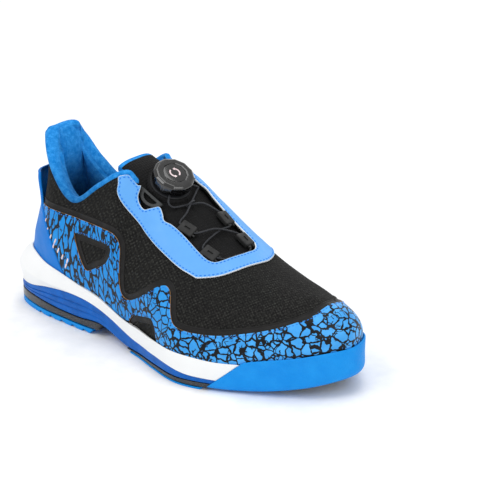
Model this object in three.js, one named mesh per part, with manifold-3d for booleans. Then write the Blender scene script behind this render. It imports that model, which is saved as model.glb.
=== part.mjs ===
// A right-foot bowling shoe with a dial-and-cable closure, as an assembly of its separate pieces.
// Millimetres, +X towards the toe, +Y towards the inner (medial) side, +Z up.
import * as THREE from 'three';
import { mergeVertices } from 'three/addons/utils/BufferGeometryUtils.js';
import Module from 'manifold-3d';

const wasm = await Module();
wasm.setup();

// ---------------------------------------------------------------- driving dimensions
const GAP = 0.3;                 // air between two pieces that touch
const KNIT = 1.6;                // thickness of the knitted upper
const OVERLAY = 1.0;             // thickness of the printed and smooth overlays
const RIM_CLEARANCE = 1.7;       // from the upper's outside to the inside of the sole's cup
const RIM_LIP = 0.9;             // thickness of the cup's top lip
const STIFFENER = 1.1;           // thickness of the toe puff and of the heel stiffener
const LINING = 1.0;              // thickness of the sock lining fabric
const COLLAR_PAD = 3.4;          // foam between upper and lining round the ankle
const TOE_SPRING = 12;           // how far the toe of the sole lifts off the floor
const TOE_SPRING_START = 225;    // where the sole starts to lift
const HEEL_BREAST = 87;          // front end of the heel pad on the floor
const FOREFOOT_START = 133;      // rear end of the forefoot pad on the floor
const WRAP_FOOT = [214, 0];      // the toe wrap's slanted rear edge, at the floor
const WRAP_HEAD = [239, 22];     // and at the feather line
const TONGUE_DEPTH = 3.2;        // how far the tongue lies under the instep line
const DIAL_X = 134;              // where the dial's axis meets the instep
const DIAL_TILT = 29.4 * Math.PI / 180; // towards the toe
const DIAL_ROLL = 8 * Math.PI / 180; // towards the lateral side
const KNOB_RADIUS = 15;
const KNOB_LOBES = 12;
const CABLE_RADIUS = 0.65;
// Middles of the cable guides on the instep, from the heel and from the middle line.
const GUIDE_SPOTS = { lateral: [[164, -17.4], [186, -18.8]], medial: [[171.5, 15.3], [190.5, 13.9]] };
const D_GUIDE_SPOT = { x: 130.5, lateral: -19, medial: 19.8 }; // middle of the D-shaped guides

// The foot form. One row per station, from the heel centre to the toe tip along either side.
// foot x, foot z, lateral and medial half width | rise: x, out, up |
// top x, lateral and medial half width, z | lean of the top: x, lateral out and z, medial out and z |
// sole outline x, lateral and medial half width
const STATIONS = [
  [12, 46, 0, 0, 3, 0, 25, 19, 0, 0, 133, 12, 0, -32, 0, -32, 0, 0, 0],
  [19, 45, 20.8, 20.3, 3, -0.5, 25, 25, 13, 21, 131.5, 12, 3, -30, 2, -30, 3.5, 19.8, 19],
  [42, 40, 31.5, 30, 0, 3, 24, 45, 23.5, 25, 110, 1, 6, -22, 5, -22, 30, 32, 31.5],
  [72, 35.5, 34, 31, 0, 5, 20, 67, 29, 26, 97.3, 1, 6, -18, 5.5, -18, 68, 37, 34.5],
  [97, 31, 36, 29.5, 0, 6, 25, 90, 28, 25, 113, 1, 9, -26, 8.3, -26, 97, 39, 32.7],
  [120, 23.5, 39.5, 30, 0, 6, 30, 110, 25, 22.5, 126, 5, 13, -26, 12, -24, 120, 42.5, 33],
  [142, 20.5, 45, 33.5, -1, 7, 30, 124, 0, 0, 122, 9, 27, -5, 46, 9, 142, 48.2, 37],
  [165, 20, 53.5, 40, -2, 6, 26, 148, 0, 0, 108.5, 7, 29, -4, 48, 7, 165, 57, 43.7],
  [190, 20.5, 60.5, 45.5, -1, 4, 22, 176, 0, 0, 91, 5, 32, -3, 47, 4, 192, 64.5, 49.3],
  [214, 20, 57.5, 47.5, 0, 3, 20, 203, 0, 0, 76.5, 4, 33, -2, 45, 2.5, 218, 60, 50.9],
  [238, 20, 48, 45, 1, 3, 20, 226, 0, 0, 69.5, 3, 31, -1, 38, 1.5, 243, 49.2, 48.3],
  [260, 25, 38, 39, 2, 3, 20, 242, 0, 0, 66.5, 6, 24, 0, 27, 0.5, 265, 38, 42],
  [278, 29, 26.5, 30, 3, 3, 20, 251, 0, 0, 65, 13, 15, -1, 14, -1, 284, 25, 30],
  [289, 31.5, 12, 20, 4, 1, 20, 255, 0, 0, 64.5, 21, 7, -2, 6.5, -2, 296, 10, 16],
  [294, 32.5, -3, 3, 4, 0, 20, 257, 0, 0, 64, 25, 0, -2, 0, -2, 300, -3, 3],
];
const LOOP = 2 * (STATIONS.length - 1);
const TOE = LOOP / 2;            // station of the toe tip
const RIDGE = 6;                 // from this station to its mirror the two sides meet on the instep

// Heights of the sole's layers along the shoe.
const MIDSOLE_TOP = through([[0, 46.5], [10, 46.5], [26, 46], [39, 43], [56, 39.8], [74, 35.4], [92, 32],
  [108, 27.7], [121, 23.9], [133, 22.3], [150, 22.4], [198, 22.5], [222, 21.5], [240, 22]]);
const SIDEWALL_TOP = through([[0, 17], [20, 18.3], [39, 22.7], [56, 25], [72, 25.8], [84, 25], [98, 22.2],
  [112, 18.4], [126, 14.2], [138, 11.8], [156, 11.5], [184, 11], [204, 8.9], [240, 8.4]]);
const SIDEWALL_FOOT = through([[0, 11], [31, 11], [54, 9.6], [76, 9.4], [96, 10.6], [108, 8.3], [118, 5.3],
  [129, 3.4], [142, 3.6], [164, 4.5], [218, 5.4], [240, 5.6]]);
const WRAP_TOP = through([[214, 18], [238, 21.5], [250, 25], [263, 27.8], [278, 30.6], [290, 33], [300, 34]]);

// ---------------------------------------------------------------- small tools
// A smooth curve height(x) through points, flat beyond its ends.
function through(points) {
  const slope = (i) => {
    const before = points[Math.max(i - 1, 0)];
    const after = points[Math.min(i + 1, points.length - 1)];
    return (after[1] - before[1]) / (after[0] - before[0]);
  };
  return (x) => {
    if (x <= points[0][0]) return points[0][1];
    const i = points.findIndex((p) => p[0] >= x);
    if (i < 0) return points[points.length - 1][1];
    const [x0, z0] = points[i - 1];
    const [x1, z1] = points[i];
    const span = x1 - x0;
    const f = (x - x0) / span;
    const rest = 1 - f;
    return (1 + 2 * f) * rest * rest * z0 + f * rest * rest * span * slope(i - 1)
      + f * f * (3 - 2 * f) * z1 - f * f * rest * span * slope(i);
  };
}

function smoothstep(low, high, value) {
  const f = THREE.MathUtils.clamp((value - low) / (high - low), 0, 1);
  return f * f * (3 - 2 * f);
}

function signedVolume(geometry) {
  const p = geometry.getAttribute('position');
  const [a, b, c] = [new THREE.Vector3(), new THREE.Vector3(), new THREE.Vector3()];
  let sum = 0;
  for (let i = 0; i < geometry.index.count; i += 3) {
    a.fromBufferAttribute(p, geometry.index.getX(i));
    b.fromBufferAttribute(p, geometry.index.getX(i + 1));
    c.fromBufferAttribute(p, geometry.index.getX(i + 2));
    sum += a.dot(b.cross(c));
  }
  return sum;
}

// A closed geometry as a solid for joining and cutting, with its faces pointing out.
function solid(source, matrix = null) {
  const bare = new THREE.BufferGeometry();
  bare.setAttribute('position', source.getAttribute('position').clone());
  if (source.index) bare.setIndex(source.index.clone());
  if (matrix) bare.applyMatrix4(matrix);
  const geometry = mergeVertices(bare, 1e-4);
  const index = geometry.index.array;
  const flip = signedVolume(geometry) < 0;
  const triangles = [];
  for (let i = 0; i < index.length; i += 3) {
    const [a, b, c] = [index[i], index[i + 1], index[i + 2]];
    if (a === b || b === c || a === c) continue;
    triangles.push(...(flip ? [a, c, b] : [a, b, c]));
  }
  return new wasm.Manifold(new wasm.Mesh({
    numProp: 3,
    vertProperties: new Float32Array(geometry.getAttribute('position').array),
    triVerts: new Uint32Array(triangles),
  }));
}

const shoe = new THREE.Group();

// Adds one named piece to the shoe.
function piece(name, body, color, roughness, metalness = 0) {
  const bodies = body.decompose().sort((a, b) => b.volume() - a.volume());
  const cut = bodies[0].getMesh();      // a cut can leave slivers, which are dropped
  const geometry = new THREE.BufferGeometry();
  geometry.setAttribute('position', new THREE.BufferAttribute(new Float32Array(cut.vertProperties), 3));
  geometry.setIndex(new THREE.BufferAttribute(new Uint32Array(cut.triVerts), 1));
  const material = new THREE.MeshStandardMaterial({ color, roughness, metalness });
  const mesh = new THREE.Mesh(geometry, material);
  mesh.name = name;
  shoe.add(mesh);
}

function shapeOf(points) {
  return new THREE.Shape(points.map(([x, y]) => new THREE.Vector2(x, y)));
}

function smooth(points, divisions) {
  const curve = new THREE.SplineCurve(points.map(([x, y]) => new THREE.Vector2(x, y)));
  return curve.getPoints(divisions).map((p) => [p.x, p.y]);
}

// A side-view outline (x, z) run across the shoe from y0 to y1.
function sidePrism(outline, y0 = -90, y1 = 90) {
  const geometry = new THREE.ExtrudeGeometry(shapeOf(outline), { depth: y1 - y0, bevelEnabled: false });
  geometry.rotateX(Math.PI / 2);
  geometry.translate(0, y1, 0);
  return solid(geometry);
}

// A plan-view outline (x, y) run up from z0 to z1.
function planPrism(outline, z0 = -10, z1 = 160) {
  const geometry = new THREE.ExtrudeGeometry(shapeOf(outline), { depth: z1 - z0, bevelEnabled: false });
  geometry.translate(0, 0, z0);
  return solid(geometry);
}

// ---------------------------------------------------------------- the foot form's surface
function guideColumn(row, side) {
  const [x, z, lateralFoot, medialFoot, riseX, riseOut, riseUp, topX, lateralTop, medialTop, topZ,
    leanX, lateralLean, lateralDrop, medialLean, medialDrop, soleX, lateralSole, medialSole] = row;
  const [out, half, lean, drop, sole] = side < 0
    ? [lateralFoot, lateralTop, lateralLean, lateralDrop, lateralSole]
    : [medialFoot, medialTop, medialLean, medialDrop, medialSole];
  const foot = new THREE.Vector3(x, side * out, z);
  const top = new THREE.Vector3(topX, side * half, topZ);
  return [
    foot,
    foot.clone().add(new THREE.Vector3(riseX, side * riseOut, riseUp)),
    top.clone().add(new THREE.Vector3(leanX, side * lean, drop)),
    top,
    new THREE.Vector3(soleX, side * sole, 0),
  ];
}
const NET = [
  ...STATIONS.map((row) => guideColumn(row, -1)),
  ...STATIONS.slice(1, -1).reverse().map((row) => guideColumn(row, 1)),
];

// Point of one of the form's five guide lines at station s, a closed smooth curve.
function along(line, s) {
  const whole = Math.floor(s);
  const f = s - whole;
  const [a, b, c, d] = [-1, 0, 1, 2].map((k) => NET[((whole + k) % LOOP + LOOP) % LOOP][line]);
  const blend = (p, q, r, t) => 0.5 * (2 * q + (r - p) * f + (2 * p - 5 * q + 4 * r - t) * f * f
    + (3 * q - p - 3 * r + t) * f * f * f);
  return new THREE.Vector3(blend(a.x, b.x, c.x, d.x), blend(a.y, b.y, c.y, d.y), blend(a.z, b.z, c.z, d.z));
}

function onRidge(s) {
  const station = ((s % LOOP) + LOOP) % LOOP;
  return station > RIDGE - 1e-6 && station < LOOP - RIDGE + 1e-6;
}

// Point of the foot form: s runs round the foot, t from the feather line (0) to the top line (1).
function formPoint(s, t) {
  const [p0, p1, p2, p3] = [0, 1, 2, 3].map((line) => along(line, s));
  if (onRidge(s)) p3.y = 0;
  const r = 1 - t;
  return p0.multiplyScalar(r * r * r).addScaledVector(p1, 3 * r * r * t)
    .addScaledVector(p2, 3 * r * t * t).addScaledVector(p3, t * t * t);
}

// Outward normal of the form. On the instep ridge both sides share one normal.
function formNormal(s, t) {
  if (t > 1 - 1e-6 && onRidge(s)) {
    const station = ((s % LOOP) + LOOP) % LOOP;
    const near = Math.min(station, LOOP - station, TOE - 0.2);
    const run = along(3, near + 0.1).sub(along(3, near - 0.1)).setY(0);
    const across = along(2, LOOP - near).sub(along(2, near)).setX(0);
    return run.cross(across).normalize();
  }
  const h = 0.004;
  const ds = formPoint(s + h, t).sub(formPoint(s - h, t));
  const [low, high] = [Math.max(t - h, 0), Math.min(t + h, 1)];
  const dt = formPoint(s, high).sub(formPoint(s, low));
  return ds.cross(dt).normalize();
}

function form(s, t, offset) {
  return formPoint(s, t).addScaledVector(formNormal(s, t), offset);
}

// The point of the form at a given height above the floor on station s.
function wallAt(s, height) {
  let [low, high] = [0, 1];
  for (let step = 0; step < 24; step += 1) {
    const middle = (low + high) / 2;
    if (formPoint(s, middle).z < height) low = middle;
    else high = middle;
  }
  return (low + high) / 2;
}

function geometryOf(vertices, faces) {
  const geometry = new THREE.BufferGeometry();
  const values = vertices.flatMap((v) => v.toArray());
  geometry.setAttribute('position', new THREE.Float32BufferAttribute(values, 3));
  geometry.setIndex(faces);
  return geometry;
}

// A sheet with thickness: surface(s, t, offset) between two offsets over a patch of stations and heights.
// A patch that goes all the way round closes on itself, and closes over the instep ridge at t = 1.
function sheet(surface, [s0, s1], [t0, t1], outer, inner, [ns, nt], onSeam = () => false) {
  const closed = s1 - s0 === LOOP;
  const wide = closed ? ns : ns + 1;
  const value = (offset, s, t) => (typeof offset === 'function' ? offset(s, t) : offset);
  const vertices = [];
  for (const offset of [outer, inner]) {
    for (let j = 0; j <= nt; j += 1) {
      for (let i = 0; i < wide; i += 1) {
        const s = s0 + (s1 - s0) * i / ns;
        const t = t0 + (t1 - t0) * j / nt;
        vertices.push(surface(s, t, value(offset, s, t)));
      }
    }
  }
  const at = (layer, j, i) => layer * wide * (nt + 1) + j * wide + (i % wide);
  const faces = [];
  const quad = (a, b, c, d) => faces.push(a, b, c, a, c, d);
  for (let i = 0; i < ns; i += 1) {
    for (let j = 0; j < nt; j += 1) {
      quad(at(0, j, i), at(0, j, i + 1), at(0, j + 1, i + 1), at(0, j + 1, i));
      quad(at(1, j, i), at(1, j + 1, i), at(1, j + 1, i + 1), at(1, j, i + 1));
    }
    quad(at(0, 0, i), at(1, 0, i), at(1, 0, i + 1), at(0, 0, i + 1));
    const seam = onSeam(s0 + (s1 - s0) * (i + 0.5) / ns, t1);
    if (!seam) quad(at(0, nt, i), at(0, nt, i + 1), at(1, nt, i + 1), at(1, nt, i));
  }
  if (!closed) {
    for (let j = 0; j < nt; j += 1) {
      quad(at(0, j, 0), at(0, j + 1, 0), at(1, j + 1, 0), at(1, j, 0));
      quad(at(0, j, ns), at(1, j, ns), at(1, j + 1, ns), at(0, j + 1, ns));
    }
  }
  return solid(geometryOf(vertices, faces));
}

const seamOfForm = (s, t) => t > 1 - 1e-6 && onRidge(s);
const wall = (sRange, tRange, outer, inner, steps) => (
  sheet(form, sRange, tRange, outer, inner, steps, seamOfForm));

// A body of stacked rings. Each ring is a loop that starts at the heel centre and runs along the
// lateral side to the toe and back. Its ends are closed by strips from side to side.
function stack(rings) {
  const count = rings[0].length;
  const faces = [];
  for (let r = 0; r < rings.length - 1; r += 1) {
    for (let i = 0; i < count; i += 1) {
      const next = (i + 1) % count;
      const [a, b, c, d] = [r * count + i, r * count + next, (r + 1) * count + next, (r + 1) * count + i];
      faces.push(a, b, c, a, c, d);
    }
  }
  const last = (rings.length - 1) * count;
  for (let i = 0; i < count / 2; i += 1) {
    const [a, b, c, d] = [i, i + 1, (count - i - 1) % count, (count - i) % count];
    faces.push(a, c, b, a, d, c);
    faces.push(last + a, last + b, last + c, last + a, last + c, last + d);
  }
  return solid(geometryOf(rings.flat(), faces));
}

const ROUND = 2 * LOOP;          // samples round the form
const HIDDEN_ROUND = LOOP;       // samples round pieces that nobody sees
const ring = (point, count = ROUND) => Array.from({ length: count }, (_, i) => point(i * LOOP / count));

// A point of the sole's outline at station s, moved in by inset, at height(x).
function solePoint(s, inset, height) {
  const p = along(4, s);
  const run = along(4, s + 0.01).sub(along(4, s - 0.01)).normalize();
  p.x -= run.y * inset;
  p.y += run.x * inset;
  p.z = height(p.x, s);
  return p;
}

const toeSpring = (x) => TOE_SPRING * Math.max((x - TOE_SPRING_START) / (300 - TOE_SPRING_START), 0) ** 2;
const layer = (inset, bottom, top, count = ROUND) => stack([
  ring((s) => solePoint(s, inset, bottom), count),
  ring((s) => solePoint(s, inset, top), count),
]);

// Everything behind, or in front of, the toe wrap's slanted rear edge.
const slant = (z, shift) => WRAP_FOOT[0] + shift + (WRAP_HEAD[0] - WRAP_FOOT[0]) * z / WRAP_HEAD[1];
const behindWrap = sidePrism([[-20, -10], [slant(-10, -GAP), -10], [slant(70, -GAP), 70], [-20, 70]]);
const wrapZone = sidePrism([[slant(-10, 0), -10], [320, -10], [320, 90], [slant(90, 0), 90]]);

// ---------------------------------------------------------------- sole
const cupCutter = stack([
  ring((s) => form(s, 0, RIM_CLEARANCE).add(new THREE.Vector3(0, 0, -GAP))),
  ...[0.1, 0.2, 0.3, 0.4, 0.5].map((t) => ring((s) => form(s, t, RIM_CLEARANCE))),
]);

function makeMidsole() {
  const foot = (x) => SIDEWALL_TOP(x) + 0.15;
  const lip = (s) => form(s, wallAt(s, MIDSOLE_TOP(along(0, s).x)), RIM_CLEARANCE + RIM_LIP);
  const between = (s, share, out) => {
    const low = solePoint(s, 0, foot);
    const high = lip(s);
    const p = low.clone().lerp(high, share);
    p.z = THREE.MathUtils.lerp(low.z, high.z, share);
    const crease = low.clone().lerp(high, share ** 3);
    p.x = crease.x;
    p.y = crease.y;
    const run = along(4, s + 0.01).sub(along(4, s - 0.01)).normalize();
    p.x += run.y * out;
    p.y -= run.x * out;
    return p;
  };
  const heelSwell = (s) => 1.4 * smoothstep(90, 20, along(4, s).x);
  const outside = stack([
    ring((s) => solePoint(s, 0, foot)),
    ring((s) => between(s, 0.3, heelSwell(s) * 0.7)),
    ring((s) => between(s, 0.55, heelSwell(s))),
    ring((s) => between(s, 0.8, heelSwell(s) * 0.2)),
    ring(lip),
  ]);
  const core = layer(6, (x) => Math.max(toeSpring(x) + 6, 9), (x) => Math.min(toeSpring(x) + 16, 24));
  const front = core.intersect(sidePrism([[215, 0], [320, 0], [320, 60], [215, 60]]));
  const shankSlot = makeShankBody(GAP);
  return outside.intersect(behindWrap).subtract(cupCutter).add(front.subtract(cupCutter))
    .subtract(shankSlot);
}

function makeShankBody(grow) {
  const centre = [[66, 34.9], [90, 30.6], [115, 23.6], [140, 19.4], [158, 18.9]];
  const line = smooth(centre, 10);
  const half = 9 + grow;
  const outline = [
    ...line.map(([x, z]) => [x, z - 2.1 - grow]),
    ...line.reverse().map(([x, z]) => [x, z - 0.75 + (grow ? 3 : 0)]),
  ];
  outline[0][0] -= grow;
  outline[outline.length - 1][0] -= grow;
  outline[line.length - 1][0] += grow;
  outline[line.length][0] += grow;
  return sidePrism(outline, -half, half);
}

function makeToeWrap() {
  const foot = (x) => toeSpring(x) + 1.4;
  const edge = (s) => form(s, wallAt(s, WRAP_TOP(along(4, s).x)), RIM_CLEARANCE + 1.5);
  const bulge = (s, share) => {
    const low = solePoint(s, 0, (x) => foot(x) + 4);
    return low.clone().lerp(edge(s), share);
  };
  const outside = stack([
    ring((s) => solePoint(s, 4, foot)),
    ring((s) => solePoint(s, 1.2, (x) => foot(x) + 1.4)),
    ring((s) => solePoint(s, 0, (x) => foot(x) + 5)),
    ring((s) => {
      const p = bulge(s, 0.55);
      const low = solePoint(s, 0.2, foot);
      return new THREE.Vector3(low.x * 0.6 + p.x * 0.4, low.y * 0.6 + p.y * 0.4, p.z);
    }),
    ring(edge),
  ]);
  const core = layer(6 - GAP, (x) => Math.max(toeSpring(x) + 6, 9) - GAP, () => 60);
  return outside.intersect(wrapZone).subtract(core).subtract(cupCutter);
}

function makeSidewall() {
  const height = (share) => (x) => THREE.MathUtils.lerp(SIDEWALL_FOOT(x), SIDEWALL_TOP(x) - 0.15, share);
  const groove = (s) => 1.3 * smoothstep(110, 80, along(4, s).x);
  const level = (share, deep) => ring((s) => solePoint(s, 1 + (deep ? groove(s) : 0), height(share)));
  return stack([
    level(0, false), level(0.26, false), level(0.32, true), level(0.38, false), level(0.58, false),
    level(0.64, true), level(0.7, false), level(1, false),
  ]).intersect(behindWrap);
}

const span = (x0, x1, lean = 0) => sidePrism([[x0, -5], [x1, -5], [x1 + lean * 20, 20], [x0, 20]]);
const HEEL_LAYERS = { pad: [0, 3.6], tape: [3.9, 4.6], carrier: 4.9 };
const FOREFOOT_LAYERS = { pad: 1.2, tape: [1.5, 2] };
const PAD_INSET = 0.8;           // of both pads from the sole's outline

function makeHeelPad() {
  const [low, high] = HEEL_LAYERS.pad;
  const body = layer(PAD_INSET, () => low, () => high).intersect(span(-5, HEEL_BREAST, 0.9));
  const teeth = [];
  for (let i = 0; i < 6; i += 1) {
    const x = 8 + i * 12;
    teeth.push(sidePrism([[x, -1], [x + 5, -1], [x + 5, 0], [x, 1.8]]));
  }
  const sides = planPrism([[-9, -30], [90, -34], [90, -60], [-9, -60]])
    .add(planPrism([[-9, 30], [90, 30], [90, 60], [-9, 60]]));
  return teeth.reduce((pad, tooth) => pad.subtract(tooth.intersect(sides)), body);
}

function makeSole() {
  const blue = 0x1b8ff0;
  piece('heel_pad', makeHeelPad(), blue, 0.7);
  const [heelLow, heelHigh] = HEEL_LAYERS.tape;
  piece('heel_hook_tape', layer(2.5, () => heelLow, () => heelHigh, HIDDEN_ROUND)
    .intersect(span(-5, HEEL_BREAST, 0.9)), 0x202226, 0.95);
  piece('heel_carrier', layer(0.6, () => HEEL_LAYERS.carrier, (x) => SIDEWALL_FOOT(x) - GAP)
    .intersect(span(-5, HEEL_BREAST + 6, 0.6)), 0x17191d, 0.5);
  piece('forefoot_pad', layer(PAD_INSET, toeSpring, (x) => toeSpring(x) + FOREFOOT_LAYERS.pad, ROUND)
    .intersect(span(FOREFOOT_START, WRAP_FOOT[0] - 2)), blue, 0.85);
  const [frontLow, frontHigh] = FOREFOOT_LAYERS.tape;
  piece('forefoot_hook_tape', layer(3.4, () => frontLow, () => frontHigh, HIDDEN_ROUND)
    .intersect(span(FOREFOOT_START, WRAP_FOOT[0] - 2)), 0x202226, 0.95);
  piece('forefoot_carrier', layer(0.4, () => frontHigh + GAP, (x) => SIDEWALL_FOOT(x) - GAP)
    .intersect(span(FOREFOOT_START - 3, 260)).intersect(behindWrap), 0x17191d, 0.5);
  piece('sidewall', makeSidewall(), 0x0a4bc8, 0.4);
  piece('midsole', makeMidsole(), 0xf4f5f7, 0.55);
  piece('shank', makeShankBody(0), 0x9aa0a6, 0.35, 0.9);
  piece('toe_wrap', makeToeWrap(), blue, 0.75);
  const board = (inset, low, high) => {
    const at = (s, up) => {
      const p = form(s, 0, -inset);
      p.z = along(0, s).z + up;
      return p;
    };
    return stack([ring((s) => at(s, low), HIDDEN_ROUND), ring((s) => at(s, high), HIDDEN_ROUND)]);
  };
  piece('lasting_board', board(KNIT + 0.7, 0, 1.6), 0xd8cfb8, 0.9);
  piece('sockliner', board(KNIT + 3.4, 2, 5.5), 0x1c6fd0, 0.95);
}

// ---------------------------------------------------------------- upper
// Plan view of the throat, from the collar's lateral end round the vamp point to the medial end.
const THROAT = [[92, -21], [108, -22.4], [114, -20.2], [120.4, -17.8], [122, -20], [123, -23.4],
  [126, -24.8], [131, -24.6], [137, -21.8], [140.5, -19.8], [144.5, -21.5], [148, -23.6], [155, -22.6],
  [166, -22.8],
  [182, -24.2], [189.5, -23.6]];
const THROAT_FRONT = [[194.5, -19.5], [198.5, -8], [200.5, 4], [200.7, 12]];
const THROAT_MEDIAL = [[196.5, 17.6], [189, 19], [180, 19.2], [166, 19.6], [155, 20.4], [148, 21.9],
  [144.5, 20],
  [140.5, 18.4], [137, 20.3], [131, 22.9], [126, 23], [123, 21.8], [122, 18.6], [120.4, 16.6], [114, 18.8],
  [108, 20.8], [92, 19.5]];
function throatLine(grow) {
  return smooth([
    ...THROAT.map(([x, y]) => [x, y - grow]),
    ...THROAT_FRONT.map(([x, y]) => [x + grow, y]),
    ...THROAT_MEDIAL.map(([x, y]) => [x, y + grow]),
  ], 72);
}
const throat = (grow) => planPrism(throatLine(grow), 55, 160);

// Station and height of the form's point above a place in plan, found from a guess.
function formAbove([x, y], [guessS, guessT]) {
  let [s, t] = [guessS, guessT];
  const h = 1e-3;
  for (let step = 0; step < 12; step += 1) {
    const p = formPoint(s, t);
    const ds = formPoint(s + h, t).sub(p).divideScalar(h);
    const dt = p.clone().sub(formPoint(s, t - h)).divideScalar(h);
    const det = ds.x * dt.y - dt.x * ds.y;
    const [missX, missY] = [x - p.x, y - p.y];
    s += (missX * dt.y - missY * dt.x) / det;
    t = Math.min(t + (missY * ds.x - missX * ds.y) / det, 1);
  }
  return [s, t];
}

// The collar's binding: a soft roll along the top line, thick at the heel, that turns in along the
// throat on both sides.
const BINDING_TURN = 4.9;
const BINDING_FRONT = [[111.6, -22.4], [114.2, -20.2], [117.3, -18.9], [120.2, -17.9]];
const MEDIAL_SHARE = 0.93;       // of the lateral side's width, on the medial side
const BINDING_PATH = [
  ...BINDING_FRONT.map(([x, y]) => formAbove([x, -y * MEDIAL_SHARE], [-5.3, 0.96])).reverse(),
  ...Array.from({ length: 27 }, (_, i) => [BINDING_TURN * (i - 13) / 13, 1]),
  ...BINDING_FRONT.map((place) => formAbove(place, [5.3, 0.96])),
];
function makeBinding(grow) {
  const sides = 7;
  const points = BINDING_PATH.map(([s, t]) => formPoint(s, t));
  const loops = BINDING_PATH.map(([s, t], i) => {
    const run = points[Math.min(i + 1, points.length - 1)].clone().sub(points[Math.max(i - 1, 0)]);
    const out = formNormal(s, t);
    const up = out.clone().cross(run).normalize();
    const front = smoothstep(2, 4.2, Math.abs(s));
    const turn = smoothstep(4.8, 5.2, Math.abs(s));
    const wide = 5 - 2.7 * front - 0.4 * turn;
    const high = 2.7 - 0.7 * front;
    const centre = points[i].clone().addScaledVector(out, 1.2 - wide).addScaledVector(up, 1 - high);
    return Array.from({ length: sides }, (_, k) => {
      const angle = 2 * Math.PI * k / sides;
      return centre.clone().addScaledVector(out, (wide + grow) * Math.cos(angle))
        .addScaledVector(up, (high + grow) * Math.sin(angle));
    });
  });
  const faces = [];
  for (let i = 0; i < loops.length - 1; i += 1) {
    for (let k = 0; k < sides; k += 1) {
      const next = (k + 1) % sides;
      const [a, b, c, d] = [i * sides + k, i * sides + next, (i + 1) * sides + next, (i + 1) * sides + k];
      faces.push(a, b, c, a, c, d);
    }
  }
  const last = (loops.length - 1) * sides;
  for (let k = 1; k < sides - 1; k += 1) {
    faces.push(0, k + 1, k);
    faces.push(last, last + k, last + k + 1);
  }
  return solid(geometryOf(loops.flat(), faces));
}
const bindingRoom = makeBinding(GAP);
const aboveBinding = sidePrism([[-20, 140], [19, 128], [30, 125], [34, 124], [34, 200], [-20, 200]]);

// Side-view line under which the printed overlay lies, from the heel counter to the toe cap.
const PRINT_LINE = [[26, 77.5], [34, 82], [43, 84], [111, 85], [117, 82.5], [121, 76], [122, 51], [123, 43],
  [128, 40], [136, 41.5], [150, 50], [160, 57.5], [169, 62], [175, 58], [181, 46], [187, 39.5], [200, 38],
  [219, 39], [235, 42], [251, 46], [265, 51], [278, 58.5]];
// The counter's front edge, from the sole up to the pull tab at the back.
const COUNTER_LINE = [[68, 28], [60, 40], [54, 52], [47, 65], [38, 76.5], [31, 83], [28, 90],
  [27, 102]];
const WINDOW = [[74, 72.5], [110, 74], [112, 71], [107, 61], [89, 50], [84, 51]];

function makeOverlays() {
  const shell = wall([0, LOOP], [0, 0.9], GAP + OVERLAY, GAP, [ROUND, 9]);
  const printZone = sidePrism([
    ...COUNTER_LINE.slice(0, 6).map(([x, z]) => [x + 0.5, z + 0.2]),
    ...PRINT_LINE.slice(2),
    [278, 90], [320, 90], [320, 0], [80, 0],
  ]);
  const archWindow = sidePrism([[130, 0], [131, 22], [138, 30], [150, 34], [163, 36], [168, 30], [172, 0]]);
  piece('print_overlay', shell.intersect(printZone).subtract(sidePrism(WINDOW)).subtract(archWindow),
    0x1f8fe8, 0.4);

  const lower = [[106, 130], [110, 119], [111, 113], [115, 107], [123, 99], [134, 91], [147, 84], [161, 78],
    [174, 73], [186, 69.5], [196, 66], [215, 60]];
  const above = sidePrism([...smooth(lower, 20), [240, 60], [240, 160], [106, 160]]);
  const front = planPrism(smooth([[100, -60], [172, -43.5], [186, -38], [196, -31.5], [203, -24],
    [208, -13.5], [211.5, 0], [213.2, 9], [212.4, 15.5], [208, 24.5], [200, 33], [190, 43], [100, 60]], 20),
  40, 160);
  const band = wall([3, LOOP - 3], [0.4, 1], GAP + OVERLAY + 0.2, GAP, [2 * (LOOP - 6), 6]);
  piece('eyestay', band.intersect(above).intersect(front).subtract(throat(-0.6)).subtract(bindingRoom),
    0x6db4f6, 0.45);
}

const TAB_STANDOFF = 8.5;        // how far the pull tab's top stands off the collar

// The moulded heel counter. Above the heel its top stands off the upper as a pull tab.
function makeCounter() {
  const tabRise = (s, t) => TAB_STANDOFF * smoothstep(76, 99, formPoint(s, t).z)
    * (1 - 0.8 * smoothstep(0.2, 1.4, Math.abs(s)));
  const outer = (s, t) => GAP + OVERLAY + 0.7 * smoothstep(48, 60, formPoint(s, t).z) + tabRise(s, t);
  const inner = (s, t) => GAP + Math.max(tabRise(s, t) - 0.2, 0);
  const shell = wall([-4, 4], [0, 0.9], outer, inner, [16, 18]);
  const zone = sidePrism([...smooth(COUNTER_LINE, 14), [24, 102], [6, 97], [-20, 94], [-20, 20], [68, 20]]);
  piece('heel_counter', shell.intersect(zone), 0x1673e6, 0.3);
}

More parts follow.
